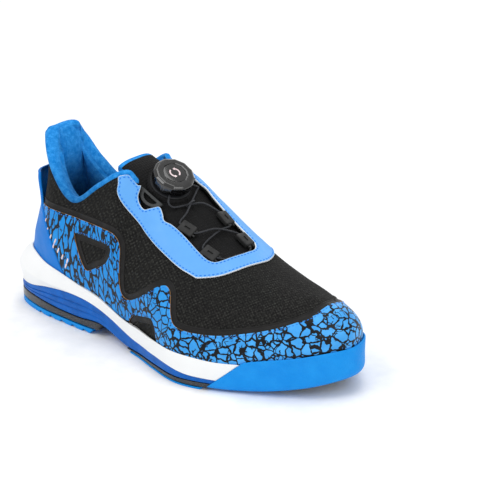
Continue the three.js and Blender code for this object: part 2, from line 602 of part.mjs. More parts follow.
function makeUpper() {
  const knit = wall([0, LOOP], [0, 1], 0, -KNIT, [ROUND, 10]);
  piece('upper_shell', knit.subtract(throat(0)).subtract(bindingRoom).subtract(aboveBinding), 0x1e1f22, 0.85);
  makeOverlays();
  makeCounter();
  const inside = -KNIT - GAP;
  const toePuff = wall([10.5, LOOP - 10.5], [0.1, 0.6], inside, inside - STIFFENER, [14, 5]);
  piece('toe_puff', toePuff, 0xe7e1d2, 0.8);
  piece('heel_stiffener', wall([-3, 3], [0.1, 0.4], inside, inside - STIFFENER, [12, 3]), 0xe7e1d2, 0.8);
  piece('collar_binding', makeBinding(0), 0x2f8fe6, 0.9);
  const swell = (s, t) => smoothstep(0.4, 0.6, t) * smoothstep(5, 4, Math.abs(s));
  const padBack = (s, t) => inside - STIFFENER - (COLLAR_PAD - STIFFENER) * swell(s, t);
  piece('collar_foam', wall([-5, 5], [0.5, 1], inside, padBack, [20, 5])
    .subtract(bindingRoom).subtract(aboveBinding), 0xdfe6ea, 0.95);
  const liningFace = (s, t) => padBack(s, t) - GAP;
  piece('collar_lining', wall([-5, 5], [0.1, 1], liningFace, (s, t) => liningFace(s, t) - LINING, [20, 9])
    .subtract(bindingRoom).subtract(aboveBinding), 0x2a86de, 0.98);
}

// ---------------------------------------------------------------- tongue
// The instep's middle line, its tilt across, and its fall per 1000 mm^3 to either side.
const MIDDLE_LINE = through([[98, 133.5], [108, 129.8], [116, 126.4], [124, 122], [134, 116.7], [148, 108.5],
  [162, 99.7], [176, 91], [190, 83], [204, 76.1], [226, 69.5]]);
const INSTEP_TILT = through([[102, 0], [112, 0.05], [122, 0.2], [128, 0.25], [134, 0.22], [148, 0.176],
  [162, 0.14], [176, 0.111], [190, 0.09], [204, 0.076]]);
const LATERAL_FALL = through([[102, 0.35], [112, 0.5], [122, 0.645], [134, 0.69], [148, 0.524], [162, 0.406],
  [176, 0.327], [190, 0.283], [204, 0.272]]);
const MEDIAL_FALL = through([[102, 0.5], [112, 0.6], [122, 0.77], [128, 0.74], [134, 0.5], [141, 0.42],
  [148, 0.43], [162, 0.37], [176, 0.344], [190, 0.311], [204, 0.303]]);
const TONGUE_STATIONS = [102, 112, 122, 134, 148, 162, 176, 190, 204];
const TONGUE_HALF = through([[102, 19.5], [112, 18.5], [122, 22], [134, 28], [176, 30], [204, 26]]);
const MEDIAL_HALF = 0.88;

function instep(x, y) {
  const fall = (y > 0 ? MEDIAL_FALL : LATERAL_FALL)(x) * Math.abs(y) ** 3 / 1000;
  return new THREE.Vector3(x, y, MIDDLE_LINE(x) + INSTEP_TILT(x) * y - fall);
}

function instepNormal(x, y) {
  const along = instep(x + 0.5, y).sub(instep(x - 0.5, y));
  return along.cross(instep(x, y + 0.5).sub(instep(x, y - 0.5))).normalize();
}

// The tongue's surface: s counts stations down from its top edge, t runs across from side to side.
function tongueSurface(s, t, depth) {
  const i = Math.min(Math.floor(s), TONGUE_STATIONS.length - 2);
  const x = THREE.MathUtils.lerp(TONGUE_STATIONS[i], TONGUE_STATIONS[i + 1], s - i);
  const y = (2 * t - 1) * TONGUE_HALF(x) * (t > 0.5 ? MEDIAL_HALF : 1);
  return instep(x, y).addScaledVector(instepNormal(x, y), depth - TONGUE_DEPTH);
}

function tongueLayer(outer, inner, steps) {
  return sheet(tongueSurface, [0, TONGUE_STATIONS.length - 1], [0, 1], outer, inner, steps);
}

function makeTongue() {
  piece('tongue_cover', tongueLayer(0, -1.2, [8, 8]), 0x232427, 0.9);
  piece('tongue_foam', tongueLayer(-1.5, -4.6, [8, 8]), 0xdfe6ea, 0.95);
  piece('tongue_lining', tongueLayer(-4.9, -5.9, [8, 8]), 0x2a86de, 0.98);
}

// ---------------------------------------------------------------- dial
const dialSeat = instep(DIAL_X, 0).addScaledVector(instepNormal(DIAL_X, 0), 0.5 - TONGUE_DEPTH + GAP);
const dialFrame = new THREE.Matrix4().makeRotationY(DIAL_TILT)
  .multiply(new THREE.Matrix4().makeRotationX(DIAL_ROLL)).setPosition(dialSeat);
const onDial = (x, y, z) => new THREE.Vector3(x, y, z).applyMatrix4(dialFrame);

// A turned body about the dial's axis from a closed or axis-to-axis profile of (radius, height).
function turned(profile, segments = 32) {
  const geometry = new THREE.LatheGeometry(profile.map(([r, z]) => new THREE.Vector2(r, z)), segments);
  geometry.rotateX(Math.PI / 2);
  return solid(geometry, dialFrame);
}
const ringProfile = (r0, r1, z0, z1) => [[r0, z0], [r1, z0], [r1, z1], [r0, z1], [r0, z0]];
const disc = (r, z0, z1, segments) => turned([[0, z0], [r, z0], [r, z1], [0, z1]], segments);

// A body of rings about the dial's axis whose radius varies with the angle.
function lobed(levels, radius, segments) {
  const vertices = [onDial(0, 0, levels[0][1])];
  for (const [share, z] of levels) {
    for (let i = 0; i < segments; i += 1) {
      const angle = 2 * Math.PI * i / segments;
      const r = radius(angle) * share;
      vertices.push(onDial(r * Math.cos(angle), r * Math.sin(angle), z));
    }
  }
  const end = vertices.length;
  vertices.push(onDial(0, 0, levels[levels.length - 1][1]));
  const faces = [];
  for (let i = 0; i < segments; i += 1) {
    const next = (i + 1) % segments;
    faces.push(0, 1 + next, 1 + i);
    for (let k = 0; k < levels.length - 1; k += 1) {
      const [a, b] = [1 + k * segments, 1 + (k + 1) * segments];
      faces.push(a + i, a + next, b + next, a + i, b + next, b + i);
    }
    const top = 1 + (levels.length - 1) * segments;
    faces.push(end, top + i, top + next);
  }
  return solid(geometryOf(vertices, faces));
}

const HOUSING = { inner: 11, outer: 13, foot: 2.4, top: 8.2 };
const SPOOL = { bore: 2.4, hub: 6.6, flange: 10.4, foot: 2.7, low: 3.1, high: 4.7, top: 6.2 };
const RATCHET = { outer: 10.5, foot: 6.6, top: 7.8, teeth: 24 };
const KNOB = { foot: 4.2, deck: 9.2, shoulder: 10.8, top: 12.2, wall: 13.4, bevel: 13 };
const POST_RADIUS = 2;

// ---------------------------------------------------------------- cable and its guides
// A frame on the instep: x down the instep, y towards the medial side, z off the surface.
function seat(x, y, lift) {
  const normal = instepNormal(x, y);
  const across = instep(x, y + 0.5).sub(instep(x, y - 0.5)).normalize();
  const down = across.clone().cross(normal).normalize();
  across.crossVectors(normal, down);
  const origin = instep(x, y).addScaledVector(normal, lift);
  return new THREE.Matrix4().makeBasis(down, across, normal).setPosition(origin);
}

const GUIDE = { length: 11.5, width: 9, thick: 2.8, slotLength: 4.5, slotWidth: 1.5 };
const D_GUIDE_TURN = { lateral: -18, medial: 12 }; // degrees, which sets the bar along the instep
const D_GUIDE = { half: 10.6, depth: 8, bar: 2, slotHalf: 6.4, slotDepth: 3.8, thick: 1.8,
  inboard: 3, lift: -1.9 };
const guideSeat = (row, side) => seat(...GUIDE_SPOTS[side < 0 ? 'lateral' : 'medial'][row], -1.6);
const overTongue = (x, y, up) => instep(x, y).addScaledVector(instepNormal(x, y), up - TONGUE_DEPTH);

// The cable bows outwards as it runs through a guide.
function cableThroughGuide(row, side, downwards) {
  const way = downwards ? 1 : -1;
  return [[-7, -1], [-3.5, 0.6], [0, 1.2], [3.5, 0.6], [7, -1]].map(([down, out]) => (
    new THREE.Vector3(down * way, side * out, 1.4).applyMatrix4(guideSeat(row, side))));
}

const CABLE_LIFT = 2;
const ROUTE = [
  onDial(2.2, -7.5, 3.9), onDial(8.4, -10, 3.4), onDial(13.5, -15, 1.9),
  overTongue(147, -13.5, CABLE_LIFT + 0.6), overTongue(152.5, -1.5, CABLE_LIFT),
  overTongue(156.5, 9.5, CABLE_LIFT),
  ...cableThroughGuide(0, 1, true),
  overTongue(177, 4, CABLE_LIFT),
  ...cableThroughGuide(1, -1, true),
  overTongue(195, -13, CABLE_LIFT), overTongue(198, 0, CABLE_LIFT), overTongue(199, 9.5, CABLE_LIFT),
  ...cableThroughGuide(1, 1, false),
  overTongue(175.5, 0, CABLE_LIFT + 1.7),
  ...cableThroughGuide(0, -1, false),
  overTongue(156.5, -9.5, CABLE_LIFT + 1.2), overTongue(152.5, 0.5, CABLE_LIFT + 1.7),
  overTongue(147, 13.5, CABLE_LIFT + 0.6),
  onDial(13.5, 15, 1.9), onDial(8.4, 10, 3.4), onDial(2.2, 7.5, 3.9),
];

function cableTube(radius, sides) {
  const section = new THREE.Shape();
  for (let k = 0; k < sides; k += 1) {
    const angle = 2 * Math.PI * k / sides;
    if (k) section.lineTo(radius * Math.cos(angle), radius * Math.sin(angle));
    else section.moveTo(radius, 0);
  }
  const path = new THREE.CatmullRomCurve3(ROUTE, false, 'centripetal');
  return solid(new THREE.ExtrudeGeometry(section, { steps: 66, bevelEnabled: false, extrudePath: path }));
}
const cableRoom = cableTube(CABLE_RADIUS + 0.45, 6);

function roundedPlate(length, width, radius) {
  const shape = new THREE.Shape();
  const [x, y] = [length / 2, width / 2];
  shape.moveTo(-x + radius, -y);
  shape.lineTo(x - radius, -y);
  shape.absarc(x - radius, -y + radius, radius, -Math.PI / 2, 0);
  shape.lineTo(x, y - radius);
  shape.absarc(x - radius, y - radius, radius, 0, Math.PI / 2);
  shape.lineTo(-x + radius, y);
  shape.absarc(-x + radius, y - radius, radius, Math.PI / 2, Math.PI);
  shape.lineTo(-x, -y + radius);
  shape.absarc(-x + radius, -y + radius, radius, Math.PI, 1.5 * Math.PI);
  return shape;
}

// A half-round hoop whose straight bar lies against the dial's shield.
function dGuide(side, grow) {
  const half = new THREE.Shape();
  half.absellipse(0, 0, D_GUIDE.half + grow, D_GUIDE.depth + grow, 0, Math.PI);
  half.lineTo(-D_GUIDE.half - grow, -grow);
  half.lineTo(D_GUIDE.half + grow, -grow);
  const hole = new THREE.Path();
  hole.absellipse(0, D_GUIDE.bar, D_GUIDE.slotHalf, D_GUIDE.slotDepth, Math.PI, 0, true);
  if (!grow) half.holes.push(hole);
  const depth = D_GUIDE.thick + 2 * grow;
  const hoop = new THREE.ExtrudeGeometry(half, { depth, bevelEnabled: false, curveSegments: 8 });
  if (side < 0) hoop.rotateZ(Math.PI);
  hoop.translate(0, -side * D_GUIDE.inboard, -grow);
  hoop.rotateZ((side < 0 ? D_GUIDE_TURN.lateral : D_GUIDE_TURN.medial) * Math.PI / 180);
  const offset = side > 0 ? D_GUIDE_SPOT.medial : D_GUIDE_SPOT.lateral;
  return solid(hoop, seat(D_GUIDE_SPOT.x, offset, D_GUIDE.lift));
}

function makeGuides() {
  const names = { '-1': 'lateral', 1: 'medial' };
  const eyestayRoom = throat(-0.9);
  for (const side of [-1, 1]) {
    GUIDE_SPOTS.lateral.forEach((_, row) => {
      const plate = new THREE.ExtrudeGeometry(roundedPlate(GUIDE.length, GUIDE.width, 1.2),
        { depth: GUIDE.thick, bevelEnabled: false, curveSegments: 3 });
      const slot = new THREE.ExtrudeGeometry(roundedPlate(GUIDE.slotLength, GUIDE.slotWidth, 0.5),
        { depth: 1, bevelEnabled: false, curveSegments: 2 });
      slot.translate(0, 0, GUIDE.thick - 0.5);
      const frame = guideSeat(row, side);
      const body = solid(plate, frame).subtract(solid(slot, frame))
        .subtract(cableRoom).intersect(eyestayRoom);
      piece(`${names[side]}_guide_${row + 1}`, body, 0x2d2e30, 0.5);
    });
    const hoop = dGuide(side, 0).subtract(cableRoom).intersect(eyestayRoom);
    piece(`${names[side]}_d_guide`, hoop, 0x8b8d8e, 0.4);
  }
  const loop = new THREE.TorusGeometry(3.4, 0.7, 6, 16);
  const keeperFrame = seat(152.5, -0.2, CABLE_LIFT + 0.2 - TONGUE_DEPTH);
  const upright = new THREE.Matrix4().makeRotationY(Math.PI / 2);
  const keeper = solid(loop, keeperFrame.clone().multiply(upright));
  piece('cable_keeper', keeper.subtract(tongueLayer(GAP, -8, [8, 8])).subtract(cableRoom), 0x1c1d1f, 0.6);
}

function makeDial() {
  const black = 0x121316;
  const tongueRoom = tongueLayer(GAP, -12, [8, 8]);
  const oval = (angle) => 0.88 + 0.14 * Math.abs(Math.cos(angle));
  const shield = lobed([[15.6, -9], [17.6, -5], [17.4, -1.6], [15.8, 0.4]], oval, 36);
  piece('dial_shield', shield.subtract(tongueRoom).subtract(cableRoom).intersect(throat(-1.5))
    .subtract(dGuide(-1, GAP)).subtract(dGuide(1, GAP)), 0x1b1c1e, 0.9);
  piece('dial_base', turned([[0, 0.7], [15, 0.7], [15, 1.3], [13.4, 2], [0, 2]])
    .subtract(cableRoom).subtract(disc(POST_RADIUS - 0.6, -2, 3, 12)), black, 0.4);
  const teeth = RATCHET.teeth;
  const slots = [-1, 1].map((side) => solid(new THREE.BoxGeometry(8, 9, 2.3),
    dialFrame.clone().multiply(new THREE.Matrix4().makeTranslation(9.2, side * 11, 3.6))));
  piece('dial_housing', turned(ringProfile(HOUSING.inner, HOUSING.outer, HOUSING.foot, HOUSING.top), 32)
    .subtract(slots[0]).subtract(slots[1]), black, 0.4);
  piece('dial_spool', turned([[SPOOL.bore, SPOOL.foot], [SPOOL.flange, SPOOL.foot], [SPOOL.flange, SPOOL.low],
    [SPOOL.hub, SPOOL.low], [SPOOL.hub, SPOOL.high], [SPOOL.flange, SPOOL.high], [SPOOL.flange, SPOOL.top],
    [SPOOL.bore, SPOOL.top], [SPOOL.bore, SPOOL.foot]], 24), 0x2a2b2e, 0.4);
  const saw = (angle) => 1 - 0.07 * ((angle * teeth / (2 * Math.PI)) % 1);
  const ratchet = lobed([[RATCHET.outer, RATCHET.foot], [RATCHET.outer, RATCHET.top]], saw, teeth * 2);
  piece('ratchet_disc', ratchet.subtract(disc(SPOOL.bore, 0, 20, 16)), 0x5a5d61, 0.4);
  piece('dial_post', disc(POST_RADIUS, 2.4, 11.3, 16), 0xb8bcc0, 0.3, 1);
  piece('detent_spring', turned(ringProfile(2.6, 4.6, 8.1, 8.9), 20), 0xb8bcc0, 0.3, 1);
  const facet = 2 * Math.PI / KNOB_LOBES;
  const lobes = (angle) => 1 - 0.045 * (0.5 - 0.5 * Math.cos(2 * Math.PI * angle / facet));
  const side = [[KNOB_RADIUS, KNOB.foot], [KNOB_RADIUS, KNOB.shoulder], [KNOB.bevel, KNOB.top]];
  const outside = lobed(side, lobes, 36);
  piece('dial_knob', outside.subtract(disc(KNOB.wall, 0, KNOB.deck, 32)).subtract(disc(SPOOL.bore, 0, 20, 16))
    .subtract(disc(8.8, 11.5, 20, 24)), black, 0.15);
  piece('knob_cap', turned([[0, 11.8], [8.4, 11.8], [8.4, 12.6], [7, 13.2], [0, 13.4]], 24), 0x0c0d0f, 0.1);
}

makeSole();
makeUpper();
makeTongue();
makeDial();
piece('lace_cable', cableTube(CABLE_RADIUS, 8), 0x303236, 0.5);
makeGuides();

// The origin is the middle of the shoe's footprint box, on the floor.
const box = new THREE.Box3().setFromObject(shoe);
const middle = box.getCenter(new THREE.Vector3());
shoe.position.set(-middle.x, -middle.y, -box.min.z);
const assembly = new THREE.Group();
assembly.add(shoe);

export default assembly;
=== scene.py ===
# The looks of a right-foot bowling shoe with a dial closure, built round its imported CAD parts.
import math

import bmesh
import bpy
import numpy as np
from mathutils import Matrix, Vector


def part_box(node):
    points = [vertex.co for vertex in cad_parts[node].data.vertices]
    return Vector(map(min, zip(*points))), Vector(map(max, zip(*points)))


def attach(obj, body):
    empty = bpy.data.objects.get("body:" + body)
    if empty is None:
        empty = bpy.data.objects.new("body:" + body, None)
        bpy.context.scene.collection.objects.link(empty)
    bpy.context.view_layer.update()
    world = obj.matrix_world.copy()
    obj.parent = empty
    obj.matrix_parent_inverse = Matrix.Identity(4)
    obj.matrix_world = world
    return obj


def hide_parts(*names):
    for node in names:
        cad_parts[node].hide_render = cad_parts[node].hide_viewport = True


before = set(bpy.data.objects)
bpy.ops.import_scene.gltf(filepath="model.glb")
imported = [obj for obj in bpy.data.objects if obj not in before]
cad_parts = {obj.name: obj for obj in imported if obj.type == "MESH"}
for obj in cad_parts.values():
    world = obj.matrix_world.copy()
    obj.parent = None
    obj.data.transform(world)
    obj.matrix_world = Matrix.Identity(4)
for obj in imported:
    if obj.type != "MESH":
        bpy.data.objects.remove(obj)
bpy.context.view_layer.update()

# ---------------------------------------------------------------- places, in mm of the shoe's own frame
MM = 0.001
SOLE_LENGTH = 300


def to_row(points):
    """Points of the shoe's own frame, in millimetres, as metres of the row frame."""
    return np.asarray(points, float) * MM + SHIFT


# ---------------------------------------------------------------- camera, light and floor
TARGET = (150, 0, 60)
VIEW_AZIMUTH = math.radians(41.05)
VIEW_ELEVATION = math.radians(21.83)
DISTANCE = 2020.9
LENS = 204.7
AIM_RIGHT, AIM_UP = 0.021586, 0.004051   # how far the view's middle lies beside the target, as slopes


def linked(name, data):
    """A new object in the scene."""
    made = bpy.data.objects.new(name, data)
    bpy.context.scene.collection.objects.link(made)
    return made


def pointed(name, data, place, direction):
    """A new light or camera that looks in a direction."""
    made = linked(name, data)
    made.location = place
    made.rotation_mode = "QUATERNION"
    made.rotation_quaternion = direction.to_track_quat("-Z", "Y")
    return made


def make_camera():
    az, el = VIEW_AZIMUTH, VIEW_ELEVATION
    back = Vector((math.sin(az) * math.cos(el), -math.cos(az) * math.cos(el), math.sin(el)))
    right = Vector((math.cos(az), math.sin(az), 0))
    up = back.cross(right)
    data = bpy.data.cameras.new("camera")
    data.lens = LENS
    data.clip_end = 20
    place = Vector(to_row(TARGET)) + back * DISTANCE * MM
    bpy.context.scene.camera = pointed("camera", data, place, -back + right * AIM_RIGHT + up * AIM_UP)


LIGHTS_AIM = Vector((0, 0, 0.05))


def make_light(name, place, size, power):
    data = bpy.data.lights.new(name, "AREA")
    data.shape = "RECTANGLE"
    data.size, data.size_y = size
    data.energy = power
    pointed(name, data, place, LIGHTS_AIM - Vector(place))


def make_studio():
    world = bpy.data.worlds.new("studio")
    world.use_nodes = True
    light = world.node_tree.nodes["Background"]
    light.inputs["Color"].default_value = (1, 1, 1, 1)
    light.inputs["Strength"].default_value = 0.7
    bpy.context.scene.world = world
    bpy.context.scene.view_settings.view_transform = "Standard"
    make_light("key", (-0.35, -0.95, 1.15), (0.9, 0.6), 5.5)
    make_light("side", (1.15, -0.25, 0.75), (0.5, 0.9), 3)
    make_light("top", (0.05, 0.15, 1.35), (1.1, 0.7), 5)
    make_light("back", (-0.5, 1.1, 0.7), (0.8, 0.5), 2.5)

    grid = bmesh.new()
    bmesh.ops.create_grid(grid, x_segments=12, y_segments=12, size=4)
    mesh = bpy.data.meshes.new("floor")
    grid.to_mesh(mesh)
    grid.free()
    floor = linked("floor", mesh)
    floor.location.z = -0.0002
    paper = Finish("studio_paper", "#ffffff", 0.9)
    paper.grain(0.02, "#f4f5f6", 12)
    mesh.materials.append(paper.material)


# ---------------------------------------------------------------- finishes
def linear(text):
    """A web colour as linear RGBA."""
    parts = [int(text[i:i + 2], 16) / 255 for i in (1, 3, 5)]
    return tuple(c / 12.92 if c <= 0.04045 else ((c + 0.055) / 1.055) ** 2.4 for c in parts) + (1,)


class Finish:
    """A Principled material whose colour, roughness and bump come from procedural nodes."""

    def __init__(self, name, color, roughness, **constants):
        self.material = bpy.data.materials.new(name)
        self.material.use_nodes = True
        self.tree = self.material.node_tree
        self.shader = self.tree.nodes["Principled BSDF"]
        self.shader.inputs["Roughness"].default_value = roughness
        self.shader.inputs["Specular IOR Level"].default_value = 0.22
        for key, value in constants.items():
            self.shader.inputs[key.replace("_", " ")].default_value = value
        self.base = self.node("ShaderNodeRGB").outputs[0]
        self.base.default_value = linear(color)
        self.material.diffuse_color = linear(color)
        self.place = self.node("ShaderNodeTexCoord").outputs["Object"]
        self.normal = None

    def node(self, kind, **inputs):
        made = self.tree.nodes.new(kind)
        for key, value in inputs.items():
            self.feed(made.inputs[key.replace("_", " ")], value)
        return made

    def feed(self, socket, value):
        if isinstance(value, bpy.types.NodeSocket):
            self.tree.links.new(value, socket)
        else:
            socket.default_value = value

    def math(self, operation, *values):
        made = self.tree.nodes.new("ShaderNodeMath")
        made.operation = operation
        for socket, value in zip(made.inputs, values):
            self.feed(socket, value)
        return made.outputs[0]

    def times(self, a, b):
        return self.math("MULTIPLY", a, b)

    def plus(self, a, b):
        return self.math("ADD", a, b)

    def minus(self, a, b):
        return self.math("SUBTRACT", a, b)

    def larger(self, a, b):
        return self.math("MAXIMUM", a, b)

    def mapped(self, source, **inputs):
        """Places turned by Rotation or stretched by Scale."""
        return self.node("ShaderNodeMapping", Vector=source, **inputs).outputs[0]

    def spread(self, value, start, end, low=0.0, high=1.0):
        """A value from start to end spread over low to high."""
        return self.node("ShaderNodeMapRange", Value=value, From_Min=start, From_Max=end, To_Min=low,
                         To_Max=high)

    def axes(self):
        split = self.node("ShaderNodeSeparateXYZ", Vector=self.place)
        return [split.outputs[k] for k in "XYZ"]

    def noise(self, size, detail=3.0, source=None, roughness=0.55):
        """Noise from 0 to 1 whose spots are about size metres across."""
        made = self.node("ShaderNodeTexNoise", Vector=source or self.place, Scale=1 / size, Detail=detail,
                         Roughness=roughness)
        return made.outputs["Fac"]

    def ramp(self, value, *stops):
        """Colours or grey levels at places from 0 to 1."""
        made = self.node("ShaderNodeValToRGB", Fac=value)
        elements = made.color_ramp.elements
        while len(elements) < len(stops):
            elements.new(0.5)
        for element, (place, color) in zip(elements, stops):
            element.position = place
            element.color = linear(color) if isinstance(color, str) else (color, color, color, 1)
        return made.outputs["Color"]

    def mix(self, share, a, b):
        made = self.tree.nodes.new("ShaderNodeMix")
        made.data_type = "RGBA"
        self.feed(made.inputs["Factor"], share)
        self.feed(made.inputs["A"], linear(a) if isinstance(a, str) else a)
        self.feed(made.inputs["B"], linear(b) if isinstance(b, str) else b)
        return made.outputs["Result"]

    def grain(self, size, other, detail=3.0, low=0.35, high=0.7):
        """Mixes the base colour with another by noise."""
        spots = self.ramp(self.noise(size, detail), (low, 0.0), (high, 1.0))
        self.paint(self.mix(spots, self.base, other))

    def bump(self, height, distance, strength=1.0):
        made = self.node("ShaderNodeBump", Height=height, Distance=distance, Strength=strength)
        if self.normal is not None:
            self.feed(made.inputs["Normal"], self.normal)
        self.normal = made.outputs[0]
        self.feed(self.shader.inputs["Normal"], self.normal)

    def vary_roughness(self, size, low, high):
        spots = self.spread(self.noise(size, 4.0), 0.3, 0.7, low, high)
        self.feed(self.shader.inputs["Roughness"], spots.outputs[0])

    def paint(self, color):
        self.base = color
        self.feed(self.shader.inputs["Base Color"], color)

    def wave(self, size, direction, source=None):
        """Smooth ridges size metres apart across one axis."""
        made = self.node("ShaderNodeTexWave", Vector=source or self.place, Scale=math.pi / (size * 10))
        made.wave_type = "BANDS"
        made.bands_direction = direction
        made.inputs["Distortion"].default_value = 0
        return made.outputs["Fac"]


def knit_finish():
    f = Finish("black_knit", "#101010", 0.9)
    place = f.mapped(f.place, Rotation=[math.radians(angle) for angle in (20, 42, 35)])
    dashes = f.noise(0.0013, 1.0, f.mapped(place, Scale=(0.42, 1.0, 1.0)), 0.5)
    weave = f.times(f.wave(0.0017, "Y", place), f.wave(0.0021, "Z", place))
    yarn = f.plus(f.times(dashes, 0.8), f.times(weave, 0.22))
    tone = f.ramp(yarn, (0.3, "#0b0b0b"), (0.46, "#191918"), (0.58, "#272725"), (0.74, "#3a3c38"))
    cloud = f.ramp(f.noise(0.02, 2.0), (0.3, 0.0), (0.7, 1.0))
    f.paint(f.mix(f.times(cloud, 0.3), tone, "#0b0b0b"))
    f.bump(yarn, 0.0006, 0.7)
    return f.material


def plain_finish(name, color, roughness, grain, varied=None, bumps=(), **constants):
    """A finish of mottled colour, roughness that varies, and bumps of (size, detail, distance, strength)."""
    f = Finish(name, color, roughness, **constants)
    f.grain(*grain)
    if varied:
        f.vary_roughness(*varied)
    for size, detail, distance, strength in bumps:
        f.bump(f.noise(size, detail), distance, strength)
    return f.material


PRINT_TINT_AND_PAINTED_LIGHT_START = -0.02     # row x where the print starts to turn lighter towards the toe, partly its own paler tint and partly painted light
PRINT_TINT_AND_PAINTED_LIGHT_END = 0.09


def print_finish():
    """Azure cells between black crackle lines: tall and narrow at the back, broad at the toe. The azure turns
    lighter towards the toe, partly its own tint and partly painted light.
    """
    f = Finish("crackle_print", "#0c88da", 0.36)
    x, y, z = f.axes()
    reach = f.spread(x, -0.07, 0.02)
    reach.interpolation_type = "SMOOTHSTEP"
    front = reach.outputs[0]
    height = f.times(z, f.plus(0.42, f.times(front, 0.58)))
    length = f.times(x, f.minus(1.25, f.times(front, 0.3)))
    place = f.node("ShaderNodeCombineXYZ", X=length, Y=f.times(y, 0.9), Z=height).outputs[0]
    warp = f.node("ShaderNodeTexNoise", Vector=place, Scale=160.0, Detail=2.0)
    shifted = f.node("ShaderNodeVectorMath", Vector=warp.outputs["Color"])
    shifted.operation = "SCALE"
    shifted.inputs["Scale"].default_value = 0.0052
    moved = f.node("ShaderNodeVectorMath")
    moved.operation = "ADD"
    f.feed(moved.inputs[0], place)
    f.feed(moved.inputs[1], shifted.outputs[0])
    lines = []
    for scale, width in ((150.0, 0.085), (250.0, 0.075)):
        cells = f.node("ShaderNodeTexVoronoi", Vector=moved.outputs[0], Scale=scale, Randomness=1.0)
        cells.feature = "DISTANCE_TO_EDGE"
        thick = f.minus(width * 1.25, f.times(front, width * 0.15))
        wide = f.times(f.plus(f.noise(0.005, 2.0), 0.35), thick)
        edge = f.minus(cells.outputs["Distance"], wide)
        lines.append(f.ramp(f.plus(f.times(edge, 14.0), 0.5), (0.4, 1.0), (0.6, 0.0)))
    some = f.ramp(f.noise(0.009, 1.0), (0.55, 0.0), (0.58, 1.0))
    crack = f.larger(lines[0], f.times(lines[1], some))
    # Partly painted light: the azure lightens towards the toe, in part the print's own paler tint and in part
    # standing in for the light on the forefoot.
    light = f.spread(x, PRINT_TINT_AND_PAINTED_LIGHT_START, PRINT_TINT_AND_PAINTED_LIGHT_END).outputs[0]
    azure = f.mix(light, "#058ee0", "#4cabf2")
    azure = f.mix(f.ramp(f.noise(0.011, 3.0), (0.35, 0.0), (0.7, 0.5)), azure, "#0078c8")
    f.paint(f.mix(crack, azure, "#0b0d10"))
    f.vary_roughness(0.01, 0.28, 0.42)
    f.bump(f.minus(1.0, crack), 0.00012, 0.6)
    f.bump(f.noise(0.0009, 2.0), 0.00005, 0.4)
    return f.material


def film_finish(name, color, other, roughness):
    return plain_finish(name, color, roughness, (0.018, other, 4.0, 0.3, 0.8),
                        (0.008, roughness - 0.06, roughness + 0.1), [(0.0013, 4.0, 0.00006, 0.5)])


def flock_finish():
    f = Finish("azure_flock", "#0a7ccc", 0.95, Sheen_Weight=0.12, Sheen_Roughness=0.4)
    f.shader.inputs["Sheen Tint"].default_value = linear("#7cc0f4")
    mottle = f.ramp(f.noise(0.0035, 3.0), (0.35, 0.0), (0.68, 1.0))
    tone = f.mix(mottle, "#0a7ccc", "#3aa0ee")
    fine = f.noise(0.0009, 2.0, roughness=0.8)
    tone = f.mix(f.ramp(fine, (0.4, 0.0), (0.65, 0.5)), tone, "#006abc")
    # Painted shade: the flock turns dark blue towards the bottom, standing in for the shadow deep inside the
    # shoe.
    deep = f.spread(f.axes()[2], 0.118, 0.07, 0.0, 0.85).outputs[0]
    f.paint(f.mix(deep, tone, "#011a3a"))
    f.bump(fine, 0.0005, 0.6)
    f.bump(f.noise(0.006, 2.0), 0.0008, 0.35)
    return f.material


def tongue_finish():
    """A black ballistic weave of crossing bundles."""
    f = Finish("ballistic_weave", "#111112", 0.8)
    place = f.mapped(f.place, Rotation=(0, 0, math.radians(8)))
    weave = f.node("ShaderNodeTexBrick", Vector=place, Scale=420.0, Mortar_Size=0.06,
                   Color1=linear("#0f0f10"), Color2=linear("#202122"), Mortar=linear("#040404"))
    f.paint(f.mix(f.ramp(f.noise(0.0016, 3.0), (0.35, 0.0), (0.7, 0.7)), weave.outputs["Color"], "#0a0a0b"))
    f.bump(f.times(f.wave(0.0019, "X", place), f.wave(0.0019, "Y", place)), 0.0004, 0.7)
    f.bump(f.noise(0.0009, 3.0), 0.0003, 0.5)
    return f.material


def rubber_finish():
    f = Finish("azure_rubber", "#008be2", 0.55)
    stipple = f.node("ShaderNodeTexVoronoi", Vector=f.place, Scale=900.0)
    f.grain(0.012, "#1094e8", 3.0)
    f.vary_roughness(0.009, 0.48, 0.66)
    f.bump(f.minus(1.0, stipple.outputs["Distance"]), 0.00022, 0.8)
    f.bump(f.noise(0.003, 3.0), 0.0002, 0.3)
    return f.material


def plastic_finish(name, color, other, low, high, depth=0.00004, **constants):
    return plain_finish(name, color, low, (0.007, other, 4.0), (0.004, low, high),
                        [(0.0007, 3.0, depth, 0.6)], **constants)


def glossy_finish(name, color, other, low, high, coat):
    """Plastic under a clear coat."""
    return plastic_finish(name, color, other, low, high, Coat_Weight=coat, Coat_Roughness=0.08,
                          Specular_IOR_Level=0.6)


def cord_finish():
    """A braided cord. Its u runs round and its v along, in braids."""
    f = Finish("braided_cord", "#2b2d31", 0.5)
    braid = f.node("ShaderNodeTexChecker", Vector=f.node("ShaderNodeTexCoord").outputs["UV"], Scale=1.0)
    f.paint(f.mix(braid.outputs["Fac"], "#17181b", "#47494e"))
    f.bump(braid.outputs["Fac"], 0.00012, 0.7)
    f.vary_roughness(0.003, 0.4, 0.6)
    return f.material


def thread_finish(name, color, other):
    f = Finish(name, color, 0.6, Sheen_Weight=0.2)
    f.grain(0.0006, other, 2.0)
    f.bump(f.wave(0.0005, "DIAGONAL"), 0.00008, 0.7)
    return f.material


